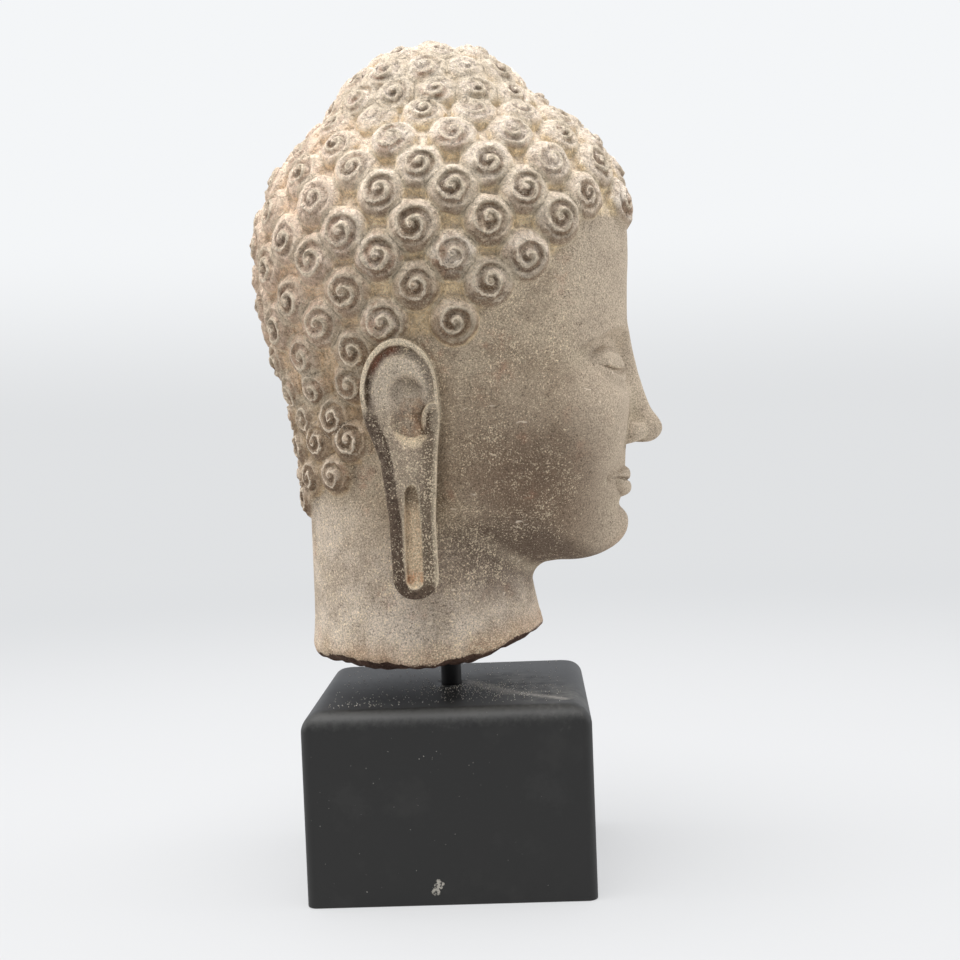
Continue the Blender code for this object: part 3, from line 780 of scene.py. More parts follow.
def make_curls(places, stone_material):
    """All the curls as one mesh in millimetres, with where each point lies on its curl."""
    depths, rises, shares = zip(*CURL_FORMS)
    forms = bpy.data.collections.new("curl_forms")
    for number, (depth, rise) in enumerate(zip(depths, rises)):
        forms.objects.link(curl_form("curl_form_%d" % number, depth, rise))
    middles, ways, radii = zip(*places)
    holder = show("curl_places", mesh_of("curl_places", [tuple(p) for p in middles], []))
    note(holder.data, "outward", ways, "FLOAT_VECTOR")
    note(holder.data, "curl_radius", CURL_SKIRT * np.array(radii))
    note(holder.data, "form", np.random.default_rng(5).choice(len(shares), len(places), p=shares), "INT")
    curls = grown(holder, curl_tree(), {
        "Curl forms": forms, "Size spread": 0.05, "Height spread": 0.03, "Turn spread": 1.2,
        "Hand wobble": 2.4, "Stone": stone_material, "Seed": 4})
    points, triangles = mesh_numbers(curls)
    whorl = np.empty(points.size, dtype=np.float32)
    curls.attributes["whorl"].data.foreach_get("vector", whorl)
    for body in [holder, *forms.objects]:
        bpy.data.objects.remove(body)
    bpy.data.collections.remove(forms)
    bpy.data.meshes.remove(curls)
    return points, triangles, whorl.reshape(-1, 3)


def on_the_curls(at, points, triangles, whorl):
    """Where each place lies on the curl under it: across, up, and 1 on a curl's skin."""
    tree = BVHTree.FromPolygons(points.tolist(), triangles.tolist())
    found = np.zeros((len(at), 3))
    for k, place in enumerate(at.tolist()):
        touch, _, face, gap = tree.find_nearest(place)
        if gap > NEAR_A_CURL:
            continue
        a, b, c = points[triangles[face]].astype(float)
        u, v, w = b - a, c - a, np.array(touch) - a
        uu, uv, vv, wu, wv = u @ u, u @ v, v @ v, w @ u, w @ v
        area = uu * vv - uv * uv
        if area < 1e-12:
            continue
        p, q = (vv * wu - uv * wv) / area, (uu * wv - uv * wu) / area
        ta, tb, tc = whorl[triangles[face]]
        found[k] = ta * (1.0 - p - q) + tb * p + tc * q
    return found


def lumps(points, size, seed):
    """Smooth random swells between -1 and 1, about one in every size millimetres."""
    at = (points - points.min(axis=0)) / size
    cell = np.floor(at).astype(int)
    heights = np.random.default_rng(seed).uniform(-1.0, 1.0, cell.max(axis=0) + 2)
    return read_grid(heights, cell, step(at - cell))


def facing_out(block, points, reach=0.7):
    """Directions out of the stone at points on its skin."""
    n = np.empty_like(points)
    for axis, shift in enumerate(reach * np.eye(3)):
        n[:, axis] = block.read(points + shift) - block.read(points - shift)
    return n / np.maximum(np.linalg.norm(n, axis=1), 1e-6)[:, None]


sandstone = bpy.data.materials.new("carved_sandstone")
broken_stone = bpy.data.materials.new("broken_sandstone")

# The block is shaped part by part, each inside the box that it reaches.
stone = Block((-104.0, -140.0, 112.0), (104.0, 118.0, 494.0), GRIT)
stone.work((-200.0, -200.0, 0.0), (200.0, 200.0, 600.0), skull_and_jaw)
stone.work((-72.0, -140.0, EYE - 30.0), (72.0, -30.0, BROW + 22.0), brows_and_eyes)
stone.work((-36.0, -145.0, NOSE_BASE - 14.0), (36.0, -70.0, BROW + 16.0), nose)
stone.work((-38.0, -130.0, MOUTH - 26.0), (38.0, -70.0, NOSE_BASE + 4.0), lips)
stone.work((-70.0, -80.0, 108.0), (70.0, -8.0, FOOT_BEGINS), neck_foot)
stone.work((-120.0, -140.0, 190.0), (120.0, 140.0, 600.0), hair_bed)
for low, high in ((-99.0, -40.0), (40.0, 99.0)):
    stone.work((low, -16.0, 158.0), (high, 52.0, 326.0), ears)
curls = curl_places()
curl_points, curl_triangles, curl_whorl = make_curls(curls, sandstone)
stone.add(curl_points, curl_triangles, 1.6)
stone.work((-120.0, -140.0, 90.0), (120.0, 140.0, 190.0), broken_neck)

points, quads = stone.skin()
head = show("carved_head", mesh_of("head", points.tolist(), quads.tolist()))
thin = head.modifiers.new("Decimate", "DECIMATE")
thin.ratio = HEAD_TRIANGLES / (2.0 * len(quads))
thin.use_collapse_triangulate = True
head.data = as_plain_mesh(head, "carved_head")
head.modifiers.clear()
points, triangles = mesh_numbers(head.data)
points = points.astype(float)
x, y, z = points.T
n = facing_out(stone, points)

# Which curl each point is on or near, and where on it.
nearest = np.full(len(points), 9.0)
tone = np.zeros(len(points))
curl_tones = np.random.default_rng(8).uniform(0.0, 1.0, len(curls))
for (middle, _, radius), chance in zip(curls, curl_tones):
    far = np.linalg.norm(points - middle, axis=1) / radius
    tone = np.where(far < nearest, chance, tone)
    nearest = np.minimum(nearest, far)
hair_line = np.array([hair_starts(v) for v in y])
among = step((z - hair_line - 1.0) / 4.0) * step((1.6 - nearest) / 0.2)
hair = np.maximum(step((1.13 - nearest) / 0.09), among) * step((z - 200.0) / 10.0)
skin = 1.0 - hair
whorl = on_the_curls(points, curl_points, curl_triangles, curl_whorl) * (nearest < 1.3)[:, None]
whorl[:, 2] *= step((0.98 - np.hypot(whorl[:, 0], whorl[:, 1])) / 0.06)


def open_air(reaches, side=1.0):
    """How open it is before each point, from 0 to 1, or how solid it is behind it where side is -1."""
    return np.mean([share(side * stone.read(points + side * n * s) / s) for s in reaches], axis=0)


# The zones of the ear, the face, the neck and the break.
flat = ear_outline(y, z)
on_ear = step((0.8 - flat) / 1.2) * step((np.abs(x) - ear_face(y, z) + EAR_THICK) / 3.0)
in_bowl = step((1.0 - oval(y, z, (11.5, 268.0), (10.0, 17.0))) / 0.5) * on_ear
# Where painted shade darkens the upper hollow of the ear's bowl.
hollow = swelling(oval(y, z, (13.0, 284.0), (6.5, 6.5))) * on_ear
# Painted shadow under the jaw, on the neck below it.
jaw_line = 216.0 - 24.0 * step((-50.0 - y) / 40.0)
under_jaw = step((jaw_line - z - 0.3 * np.maximum(y + 10.0, 0.0)) / 14.0) * step((z - 150.0) / 34.0)
under_jaw = under_jaw * step((26.0 - y) / 44.0) * (1.0 - on_ear)
cheek = swelling(oval(y, z, (-50.0, 230.0), (46.0, 44.0))) * step((y + 108.0) / 26.0)
neck = step((216.0 - z + 0.35 * (y - 20.0)) / 22.0) * step((y + 66.0) / 14.0)
broken = step((-0.45 - n[:, 2]) / 0.3) * step((158.0 - z) / 8.0) * (np.hypot(x, y) > ROD_HOLE + 1.0)

for name, values in {
        "hair": hair, "tone": tone, "height": share(scalp(x, y, z) / 8.0),
        "shelter": open_air((2.0, 4.0, 7.0, 12.0)), "crevice": 1.0 - open_air((1.2, 2.2)),
        "edge": 1.0 - open_air((1.6, 2.8), -1.0),
        "ear": on_ear, "ear_inside": -flat, "ear_rim": -flat - ear_rim(y), "ear_up": step((z - 267.0) / 12.0),
        "ear_behind": lobe_rear(y, z), "bowl": in_bowl, "hollow": hollow, "slot": -slot_gap(y, z),
        "front": step((-62.0 - y) / 30.0) * skin, "cheek": cheek * (1.0 - on_ear) * skin,
        "neck": neck * (1.0 - on_ear) * skin, "under_jaw": under_jaw,
        "above_break": z - break_height(x, y)}.items():
    note(head.data, name, values)
note(head.data, "whorl", whorl, "FLOAT_VECTOR")

# Small swells left by the hand, rougher in the hair and on the break.
swell = 0.10 * lumps(points, 7.0, 1) + skin * 0.07 * lumps(points, 3.0, 3)
swell = swell + broken * 0.6 * lumps(points, 4.0, 4)
swell = swell + hair * (0.5 * lumps(points, 3.2, 2) + 0.45 * lumps(points, 7.0, 6))
points = points + n * swell[:, None]
head.data.vertices.foreach_set("co", (points * MM).ravel())
head.data.shade_smooth()
head.data.materials.append(sandstone)
head.data.materials.append(broken_stone)
under = broken[triangles].mean(axis=1) > 0.5
head.data.polygons.foreach_set("material_index", under.astype(np.int32))
head.data.update()
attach(head, "root")
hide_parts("head")


def ink(red, green, blue):
    """A colour as it is seen on a screen, from 0 to 255, as the light that the renderer works with."""
    return tuple(((c / 255.0 + 0.055) / 1.055) ** 2.4 for c in (red, green, blue)) + (1.0,)


def open_nodes(material):
    """A material's own node tree, its shader, and the place on the piece that it is worked out for."""
    material.use_nodes = True
    tree = material.node_tree
    return tree, tree.nodes["Principled BSDF"], put(tree, "ShaderNodeTexCoord", out="Object")


def noise(place, size, detail=2.0, rough=0.5, shift=0.0):
    """Soft noise whose swells are about size millimetres across."""
    values = {"Vector": place, "W": shift, "Scale": 1.0 / (size * MM), "Detail": detail, "Roughness": rough}
    return put(place.tree, "ShaderNodeTexNoise", values, noise_dimensions="4D")


def between(value, low, high, start=0.0, end=1.0):
    """The start below low, the end above high, and a smooth change from one to the other."""
    values = {"Value": value, "From Min": low, "From Max": high, "To Min": start, "To Max": end}
    return put(value.tree, "ShaderNodeMapRange", values, interpolation_type="SMOOTHSTEP")


def falling(value, low, high):
    """1 below low, 0 above high, and a smooth fall from one to the other."""
    return 1.0 - between(value, low, high)


def larger(a, b):
    """The larger of two numbers."""
    return maths("MAXIMUM", a, b)


def tint(mask, under, over, how="MIX"):
    """Lay one colour over another where the mask is 1."""
    tree = (mask if isinstance(mask, Wire) else under).tree
    return put(tree, "ShaderNodeMix", {0: mask, 6: under, 7: over}, 2, data_type="RGBA", blend_type=how)


def layered(colour, *coats):
    """Colours laid over one another in turn, each where its own mask is 1."""
    for mask, over in coats:
        colour = tint(mask, colour, over)
    return colour


def kept(tree, name, out="Fac"):
    """What was noted on the mesh's points under a name."""
    return put(tree, "ShaderNodeAttribute", out=out, attribute_name=name)


def all_of(wire):
    """Every output of the node that a wire comes from, by name."""
    return {socket.name: Wire(socket) for socket in wire.socket.node.outputs}


def parts_of(place):
    """The X, Y and Z of a place or a direction."""
    return all_of(put(place.tree, "ShaderNodeSeparateXYZ", {0: place}))


def bump(height, strength, deep, under=None):
    """Low relief, so many millimetres deep; it may lie over another."""
    values = {"Height": height, "Strength": strength, "Distance": deep * MM}
    if under is not None:
        values["Normal"] = under
    return put(height.tree, "ShaderNodeBump", values)


# Pale and dark grains of the sandstone, which more than one material shows.
grit_group, given, end = group(
    "Sandstone grit", "ShaderNodeTree", {"Place": "Vector", "Pale share": "Float", "Dark share": "Float"},
    {"Pale": "Float", "Dark": "Float", "Sand": "Float", "Height": "Float"})
sand = noise(given["Place"], 0.9, 3.0, 0.7)
clump = noise(given["Place"], 4.5, 3.0, 0.6, 11.0) - 0.5
pale_line = 0.7 - given["Pale share"] * 0.2
dark_line = 0.7 - given["Dark share"] * 0.2
pale = between(noise(given["Place"], 0.95, 3.0, 0.66, 3.0) + clump * 0.3, pale_line, pale_line + 0.05)
dark = between(noise(given["Place"], 1.0, 3.0, 0.68, 7.0) - clump * 0.35, dark_line, dark_line + 0.07)
plug(end, {"Pale": pale, "Dark": dark, "Sand": sand, "Height": sand * 0.5 + pale * 0.35 - dark * 0.5})


def grit_on(place, pale_share, dark_share):
    """The grains, placed in a material with its own shares of pale and dark ones."""
    values = {"Place": place, "Pale share": pale_share, "Dark share": dark_share}
    return all_of(put(place.tree, "ShaderNodeGroup", values, node_tree=grit_group))


# Carved sandstone: what its points know, and patches of three sizes.
tree, shader, place = open_nodes(sandstone)
facing_up = parts_of(put(tree, "ShaderNodeNewGeometry", out="Normal"))["Z"]
up = parts_of(place)["Z"]
back = parts_of(place)["Y"]
hair_here, lift, tone_here, front_here, cheek_here, neck_here, ear_here = (
    kept(tree, name) for name in ("hair", "height", "tone", "front", "cheek", "neck", "ear"))
broad = noise(place, 62.0, 3.0, 0.5)
patch = noise(place, 19.0, 3.0, 0.55, 2.0)
fine_patch = noise(place, 6.0, 3.0, 0.6, 5.0)

# Smooth stone: brown on the cheek, paler on the brow and the neck, with a few pink stains.
neck_colour = tint(between(patch, 0.38, 0.62), ink(180, 165, 149), ink(220, 206, 190))
pink = between(noise(place, 26.0, 3.0, 0.6, 9.0), 0.56, 0.68) * between(fine_patch, 0.42, 0.6)
colour = layered(
    tint(between(broad, 0.36, 0.64), ink(164, 147, 126), ink(196, 180, 158)),
    (between(patch, 0.48, 0.66) * 0.5, ink(140, 122, 103)),
    (front_here * 0.65, ink(190, 176, 158)),
    (cheek_here * 0.92, ink(117, 98, 82)),
    (neck_here * 0.85, neck_colour),
    (pink * (0.35 - front_here * 0.3), ink(180, 132, 108)))

# Curls: own tones, paler higher up, dust and painted light above, painted shade below, yellow ground between.
low_curl = tint(tone_here, ink(202, 185, 165), ink(234, 218, 199))
high_curl = tint(tone_here, ink(246, 231, 211), ink(255, 250, 241))
rust = between(tone_here, 0.55, 0.72) * between(patch, 0.42, 0.56) * between(fine_patch, 0.4, 0.56)
low_down = falling(lift, 0.16, 0.55) * between(fine_patch, 0.26, 0.44)
valley = tint(between(up, 0.27, 0.36), ink(212, 190, 156), ink(255, 238, 200))
# Painted shade on the faces of the curls that look down.
below = falling(facing_up, -0.55, 0.22) * between(lift, 0.05, 0.4)
# Dust and painted light on the faces of the curls that look up.
dust_and_top_light = between(facing_up, -0.1, 0.6) * between(up, 0.33, 0.43, 0.35, 1.0)
rosy = between(back, 0.01, 0.08) * between(up, 0.26, 0.34)
curl_colour = layered(
    tint(between(up, 0.27, 0.37), low_curl, high_curl),
    (between(patch, 0.45, 0.62) * 0.35, ink(170, 152, 130)),
    (rust * 0.6, ink(188, 134, 104)),
    (low_down * 0.85, valley),
    # painted shade on the undersides of the curls
    (below * 0.85, ink(112, 92, 74)),
    # dust and painted light on the upward faces of the curls
    (dust_and_top_light * 0.8, ink(248, 240, 231)),
    (rosy * 0.6, ink(252, 228, 210)))

# The wound groove and ridge, from each point's place on its curl, a little shaken.
shaken = put(tree, "ShaderNodeTexNoise", {"Vector": place, "Scale": 1.0 / (3.6 * MM), "Detail": 3.0,
                                          "Roughness": 0.65}, "Color")
shaken = vectors("MULTIPLY", vectors("SUBTRACT", shaken, (0.5, 0.5, 0.5)), (0.27, 0.27, 0.0))
shell = parts_of(vectors("ADD", kept(tree, "whorl", "Vector"), shaken))
far = maths("SQRT", shell["X"] * shell["X"] + shell["Y"] * shell["Y"])
round_it = maths("ARCTAN2", shell["Y"], shell["X"]) / (2.0 * math.pi)
off_ridge = maths("ABSOLUTE", maths("FRACT", far * CURL_TURNS + round_it) - CURL_RIDGE)
on_curl = between(shell["Z"], 0.75, 0.98)
on_shell = on_curl * falling(far, 0.58, 0.72)
rubbed = between(noise(place, 7.0, 3.0, 0.65, 17.0), 0.34, 0.54)
trench = between(off_ridge, 0.24, 0.44) * between(far, 0.08, 0.16) * on_shell * rubbed
crest = falling(off_ridge, 0.04, 0.17) * on_shell

# Darker grooves and curl feet, brown curl heads, and pale ridges, rubbed and with a painted highlight.
aged = falling(up, 0.39, 0.46)
skirt = on_curl * between(far, 0.6, 0.74) * between(fine_patch, 0.38, 0.56)
skirt_colour = tint(between(up, 0.32, 0.42), ink(160, 140, 118), ink(214, 200, 183))
deep = 0.3 + falling(far, 0.25, 0.62) * falling(tone_here, 0.2, 0.9) * 0.6
browned = falling(far, 0.52, 0.7) * on_curl * between(noise(place, 11.0, 3.0, 0.6, 21.0), 0.4, 0.58)
pitted = falling(noise(place, 2.4, 3.0, 0.65, 8.0), 0.36, 0.5)
heart = falling(far, 0.3, 0.6) * on_curl * falling(tone_here, 0.35, 0.75) * between(fine_patch, 0.36, 0.56)
curl_colour = layered(
    curl_colour,
    (skirt * 0.5, skirt_colour),
    (trench * deep, ink(86, 70, 54)),
    (browned * (0.25 + aged * 0.3), ink(150, 128, 106)),
    (pitted * (0.15 + aged * 0.2), ink(112, 92, 70)),
    (heart * falling(crest, 0.3, 0.8) * 0.55, ink(104, 86, 68)),
    # pale ridges: rubbed, and a painted highlight along each crest
    (crest * between(fine_patch, 0.26, 0.5) * 0.85, ink(246, 236, 220)))
curl_colour = tint(1.0, curl_colour, (1.07, 1.0, 0.93, 1.0), "MULTIPLY")
colour = tint(hair_here, colour, curl_colour)

# Ears: pale above, brown along the lobe, dark in the trough and the bevel, and a pale thin rim.
inward = kept(tree, "ear_inside") + (fine_patch - 0.5) * 1.6
past_rim = kept(tree, "ear_rim") + (fine_patch - 0.5) * 2.2
ear_up = kept(tree, "ear_up")
ear_down = 1.0 - ear_up
rear = kept(tree, "ear_behind")
strip = tint(rear, ink(96, 80, 67), ink(128, 111, 95))
strip = tint(between(up, 0.219, 0.232) * between(back, 0.003, 0.011) * 0.85, strip, ink(168, 152, 135))
bowl = between(kept(tree, "bowl"), 0.2, 0.8) * between(fine_patch, 0.36, 0.6)
bevel = falling(inward, 6.2, 7.6) * rear * ear_down
channel = falling(past_rim, 2.6, 5.4) * between(past_rim, 0.0, 0.8) * ear_up
channel = channel * between(back, 0.012, 0.022, 0.62, 1.0)
shaded = larger(bevel, channel)
grimy = between(noise(place, 2.6, 3.0, 0.6, 15.0), 0.42, 0.6, 0.97, 0.63)
reddish = channel * between(up, 0.288, 0.3) * between(back, 0.013, 0.022) * between(patch, 0.36, 0.5)
thin_line = falling(inward, 0.5, 1.0) * falling(rear, 0.1, 0.6) * ear_down * 0.6
rim_line = falling(past_rim, -0.3, 0.5) * ear_up * between(fine_patch, 0.28, 0.44) * 0.85
ear_colour = layered(
    tint(ear_up, strip, ink(198, 184, 167)),
    (bowl * 0.55, ink(190, 148, 114)),
    # painted shade in the upper hollow of the bowl
    (between(kept(tree, "hollow"), 0.15, 0.8) * 0.75, ink(112, 96, 81)),
    # painted light on the ear's faces that look up
    (between(facing_up, 0.22, 0.6) * 0.8, ink(226, 208, 178)),
    # dark patina and painted shade in the trough and on the rear bevel, mottled
    (shaded * grimy, ink(80, 66, 56)),
    (reddish * 0.7, ink(160, 102, 80)),
    (larger(rim_line, thin_line), ink(238, 221, 194)))
colour = tint(ear_here, colour, ear_colour)

# The slot in the lobe: yellow ground, rust and painted light at its foot, and painted shade at its top.
in_slot = between(kept(tree, "slot"), -0.1, 0.5) * ear_here * between(back, 0.0074, 0.0096)
slot_rust = falling(up, 0.18, 0.187) * between(fine_patch, 0.4, 0.6)
slot_colour = layered(
    ink(210, 187, 158),
    (slot_rust * 0.7, ink(206, 146, 104)),
    # painted light on the slot's foot, which faces up
    (falling(up, 0.1765, 0.1795), ink(232, 214, 186)),
    # painted shade at the top of the slot
    (between(up, 0.216, 0.224) * 0.75, ink(104, 88, 72)))
colour = tint(in_slot, colour, slot_colour)

# Dirt and painted shade in creases, painted shade where little light comes, worn edges, and rust above the
# break.
crease_dirt_and_shade = 0.25 + ear_here * (0.35 - in_slot * 0.35) + front_here * 0.25 - hair_here * 0.15
shade = falling(kept(tree, "shelter"), 0.42, 0.85) * (0.25 - larger(in_slot * 0.25, hair_here * 0.16))
worn = between(kept(tree, "edge"), 0.1, 0.36) * (0.5 - shaded * 0.5)
above_break = kept(tree, "above_break")
colour = layered(
    colour,
    # dirt and painted shade in creases
    (between(kept(tree, "crevice"), 0.08, 0.42) * crease_dirt_and_shade, ink(86, 72, 56)),
    (shade, ink(112, 94, 72)),
    # painted shadow under the jaw
    (kept(tree, "under_jaw") * 0.85, ink(106, 91, 79)),
    (worn, ink(214, 200, 176)),
    (falling(above_break + (patch - 0.5) * 14.0, 1.0, 18.0) * 0.45, ink(192, 154, 118)),
    (falling(above_break, 0.2, 1.8) * 0.8, ink(84, 62, 54)))

# Grains, fewer on the smooth face, and a few long scratches.
pale_share = between(noise(place, 28.0, 2.0, 0.5, 4.0), 0.35, 0.65, 0.62, 0.92)
pale_share = pale_share - larger(front_here * 0.8, cheek_here * 0.1) * 0.55
pale_share = pale_share - shaded * ear_here * 0.15 - cheek_here * 0.05
grit = grit_on(place, pale_share, 0.6)
calm = 1.0 - hair_here * 0.5
colour = tint(grit["Pale"] * calm * (0.75 - cheek_here * 0.15), colour, ink(234, 218, 190))
colour = tint(grit["Dark"] * calm * 0.62, colour, ink(84, 69, 55))
sanded = tint(between(grit["Sand"], 0.3, 0.7), (0.58, 0.565, 0.545, 1.0), (1.4, 1.365, 1.32, 1.0))
colour = tint(calm, colour, sanded, "MULTIPLY")
drawn_out = put(tree, "ShaderNodeMapping", {"Vector": place, "Rotation": (0.7, 0.0, 0.0),
                                            "Scale": (1.0, 0.3, 1.0)})
scratch = between(noise(drawn_out, 3.4, 2.0, 0.55, 6.0), 0.69, 0.73) * between(broad, 0.4, 0.5)
scratch = scratch * (0.8 - larger(hair_here * 0.5, ear_here * 0.8))
colour = tint(scratch, colour, ink(228, 212, 190))

# Relief: grains, upright tool strokes and pits everywhere, and the wound grooves in the hair.
upright = put(tree, "ShaderNodeMapping", {"Vector": place, "Scale": (1.0, 1.0, 0.22)})
pits = between(noise(place, 2.4, 3.0, 0.65, 8.0), 0.36, 0.52)
worn_away = between(noise(place, 4.2, 4.0, 0.65, 13.0), 0.42, 0.6) * hair_here
relief = grit["Height"] * 0.55 + noise(upright, 1.6, 2.0, 0.5, 1.0) * 0.18 + pits * 0.35 + worn_away * 1.3
relief = relief * (hair_here * 0.5 + 0.6 - front_here * 0.3)
spiral = bump((crest * 0.35 - trench) * hair_here, 0.8, 0.9)
plug(shader, {"Base Color": colour, "Roughness": 0.88, "Specular IOR Level": 0.25,
              "Normal": bump(relief, 1.0, 0.6, spiral)})

# Broken sandstone, for the rough end of the neck.
tree, shader, place = open_nodes(broken_stone)
grit = grit_on(place, 0.5, 0.8)
colour = tint(between(noise(place, 14.0, 4.0, 0.6), 0.36, 0.66), ink(72, 53, 46), ink(110, 85, 71))
colour = tint(grit["Pale"] * 0.5, colour, ink(190, 164, 134))
colour = tint(grit["Dark"] * 0.6, colour, ink(60, 46, 36))
crumbly = grit["Height"] * 0.8 + noise(place, 3.5, 4.0, 0.65) * 1.6
plug(shader, {"Base Color": colour, "Roughness": 0.93, "Specular IOR Level": 0.2,
              "Normal": bump(crumbly, 1.0, 0.9)})

# ---------------------------------------------------------------------------------------------
# The mounting rod. A straight bar of 12 mm round steel, painted black. One end is glued in the
# hole drilled in the stone, the other in the plinth.
# ---------------------------------------------------------------------------------------------

rod = bpy.data.objects["mounting_rod"]
black_steel = bpy.data.materials.new("black_painted_steel")
tree, shader, place = open_nodes(black_steel)
film = noise(place, 5.0, 3.0, 0.55)
gloss = put(tree, "ShaderNodeMapRange", {"Value": film, "To Min": 0.34, "To Max": 0.55})
plug(shader, {"Base Color": tint(film, ink(7, 7, 6), ink(15, 14, 13)), "Roughness": gloss,
              "Specular IOR Level": 0.3, "Normal": bump(noise(place, 0.9, 2.0, 0.5), 0.3, 0.2)})
rod.data.materials.clear()
rod.data.materials.append(black_steel)

# ---------------------------------------------------------------------------------------------
# The plinth. A square block of wood, its top edge run round and its corners eased, sprayed with
# satin black paint. A round hole in the middle of the top holds the rod.
# ---------------------------------------------------------------------------------------------

PLINTH_SIDE = 160.0
PLINTH_HEIGHT = 108.0
TOP_ROUND = 11.0
CORNER_ROUND = 5.0
BOTTOM_ROUND = 1.0
PLINTH_HOLE = 6.3
HOLE_DEPTH = 50.3
HOLE_EASED = 0.4


def plinth_mesh():
    """Rings of a square with round corners, from the middle of the base to the foot of the hole."""
    corner_steps, foot_steps, wall_steps, round_steps = 10, 4, 6, 16
    half = PLINTH_SIDE / 2.0
    rings = []

    def square(inset, height, shrink=1.0):
        """A ring of the square, drawn in by a distance or shrunk."""
        flat = half - inset - CORNER_ROUND
        line = []
        for corner in range(4):
            cx = flat * (1.0 if corner in (0, 3) else -1.0)
            cy = flat * (1.0 if corner in (0, 1) else -1.0)
            for k in range(corner_steps + 1):
                angle = (corner + k / corner_steps) * math.pi / 2.0
                line.append((shrink * (cx + CORNER_ROUND * math.cos(angle)),
                             shrink * (cy + CORNER_ROUND * math.sin(angle)), height))
        rings.append(line)

    def round_ring(radius, height):
        """A circle whose points lie in line with those of the last ring."""
        edge = rings[-1]
        rings.append([(radius * px / math.hypot(px, py), radius * py / math.hypot(px, py), height)
                      for px, py, _ in edge])

    square(BOTTOM_ROUND, 0.0, 0.5)
    for k in range(foot_steps + 1):
        angle = k / foot_steps * math.pi / 2.0
        square(BOTTOM_ROUND * (1.0 - math.sin(angle)), BOTTOM_ROUND * (1.0 - math.cos(angle)))
    for k in range(1, wall_steps):
        square(0.0, BOTTOM_ROUND + (PLINTH_HEIGHT - TOP_ROUND - BOTTOM_ROUND) * k / wall_steps)
    for k in range(round_steps + 1):
        angle = k / round_steps * math.pi / 2.0
        square(TOP_ROUND * (1.0 - math.cos(angle)), PLINTH_HEIGHT - TOP_ROUND * (1.0 - math.sin(angle)))
    square(TOP_ROUND, PLINTH_HEIGHT, 0.97)
    square(TOP_ROUND, PLINTH_HEIGHT, 0.5)
    round_ring(PLINTH_HOLE + 8.0, PLINTH_HEIGHT)
    round_ring(PLINTH_HOLE + HOLE_EASED, PLINTH_HEIGHT)
    round_ring(PLINTH_HOLE, PLINTH_HEIGHT - HOLE_EASED)
    round_ring(PLINTH_HOLE, PLINTH_HEIGHT - HOLE_DEPTH)
    size = len(rings[0])
    faces = [tuple(reversed(range(size)))]
    for level in range(len(rings) - 1):
        for k in range(size):
            after = (k + 1) % size
            low = level * size
            faces.append((low + k, low + after, low + size + after, low + size + k))
    faces.append(tuple(range((len(rings) - 1) * size, len(rings) * size)))
    mesh = mesh_of("painted_plinth", [(px * MM, py * MM, pz * MM) for line in rings for px, py, pz in line],
                   faces)
    mesh.shade_smooth()
    return mesh


plinth = show("painted_plinth", plinth_mesh())
black_paint = bpy.data.materials.new("satin_black_paint")
tree, shader, place = open_nodes(black_paint)


def mark(start, end, wide, soft):
    """1 on a straight smear between two places on the plinth, in millimetres, and 0 away from it."""
    run = (Vector(end) - Vector(start)) * MM
    local = vectors("SUBTRACT", place, Vector(start) * MM)
    along = put(tree, "ShaderNodeMath", {0: vectors("DOT_PRODUCT", local, run, "Value"),
                                         1: 1.0 / run.length_squared}, operation="MULTIPLY", use_clamp=True)
    gap = vectors("DISTANCE", local, scaled(run, along), "Value")
    ragged = (noise(place, 3.0, 3.0, 0.65, 6.0) - 0.5) * (wide * MM * 1.6)
    return falling(gap + ragged, wide * MM * (1.0 - soft), wide * MM)


cloud = noise(place, 38.0, 4.0, 0.6)
sides = parts_of(place)
# Painted shade across the middle of the top, where the head hangs over it.
shadow_on_top = between(sides["Z"], 0.1066, 0.1078) * between(sides["Y"], -0.04, 0.05)
smears = between(noise(place, 30.0, 4.0, 0.6, 2.0), 0.52, 0.72)
specks = between(noise(place, 1.2, 1.0, 0.5, 5.0), 0.765, 0.785)
specks = specks * between(noise(place, 26.0, 2.0, 0.5, 8.0), 0.42, 0.6)
# A pale patch on the top towards the front: partly a dusty haze, partly a painted sheen of the bright room.
haze_and_sheen = mark((14.0, -34.0, 108.0), (-44.0, -60.0, 108.0), 36.0, 0.95)
# Painted highlight along the round of the front top edge.
edge_highlight = mark((-76.0, 74.0, 105.0), (-76.0, -74.0, 105.0), 9.0, 0.98) * noise(place, 40.0, 2.0, 0.5, 3.0)
streak = larger(mark((4.0, -10.0, 108.0), (-34.0, -36.0, 108.0), 9.5, 0.95),
                mark((-32.0, -34.0, 108.0), (-58.0, -66.0, 108.0), 5.0, 0.95))
smudge = larger(mark((-80.0, -58.0, 60.0), (-80.0, -50.0, 64.0), 12.0, 0.95),
                mark((-80.0, 57.0, 62.0), (-80.0, 50.0, 57.0), 11.0, 0.95))
chip = mark((-80.0, 8.6, 8.0), (-80.0, 7.0, 12.0), 2.6, 0.25)
chip = chip * between(noise(place, 1.6, 2.0, 0.6, 12.0), 0.42, 0.54)
colour = layered(
    tint(cloud, ink(39, 39, 38), ink(45, 44, 43)),
    # painted shade on the top under the head
    (shadow_on_top * 0.85, ink(20, 20, 20)),
    (smears * 0.1, ink(92, 90, 86)),
    (specks * 0.75, ink(190, 186, 176)),
    # dusty haze and painted sheen
    (haze_and_sheen * between(noise(place, 9.0, 4.0, 0.65, 3.0), 0.3, 0.7) * 0.62, ink(130, 128, 122)),
    # painted highlight on the front top edge
    (edge_highlight * 0.45, ink(104, 103, 99)),
    (streak * noise(place, 2.2, 3.0, 0.65, 9.0) * 0.85, ink(182, 176, 166)),
    (smudge * 0.04, ink(120, 118, 116)),
    (chip * 0.9, ink(196, 190, 178)))
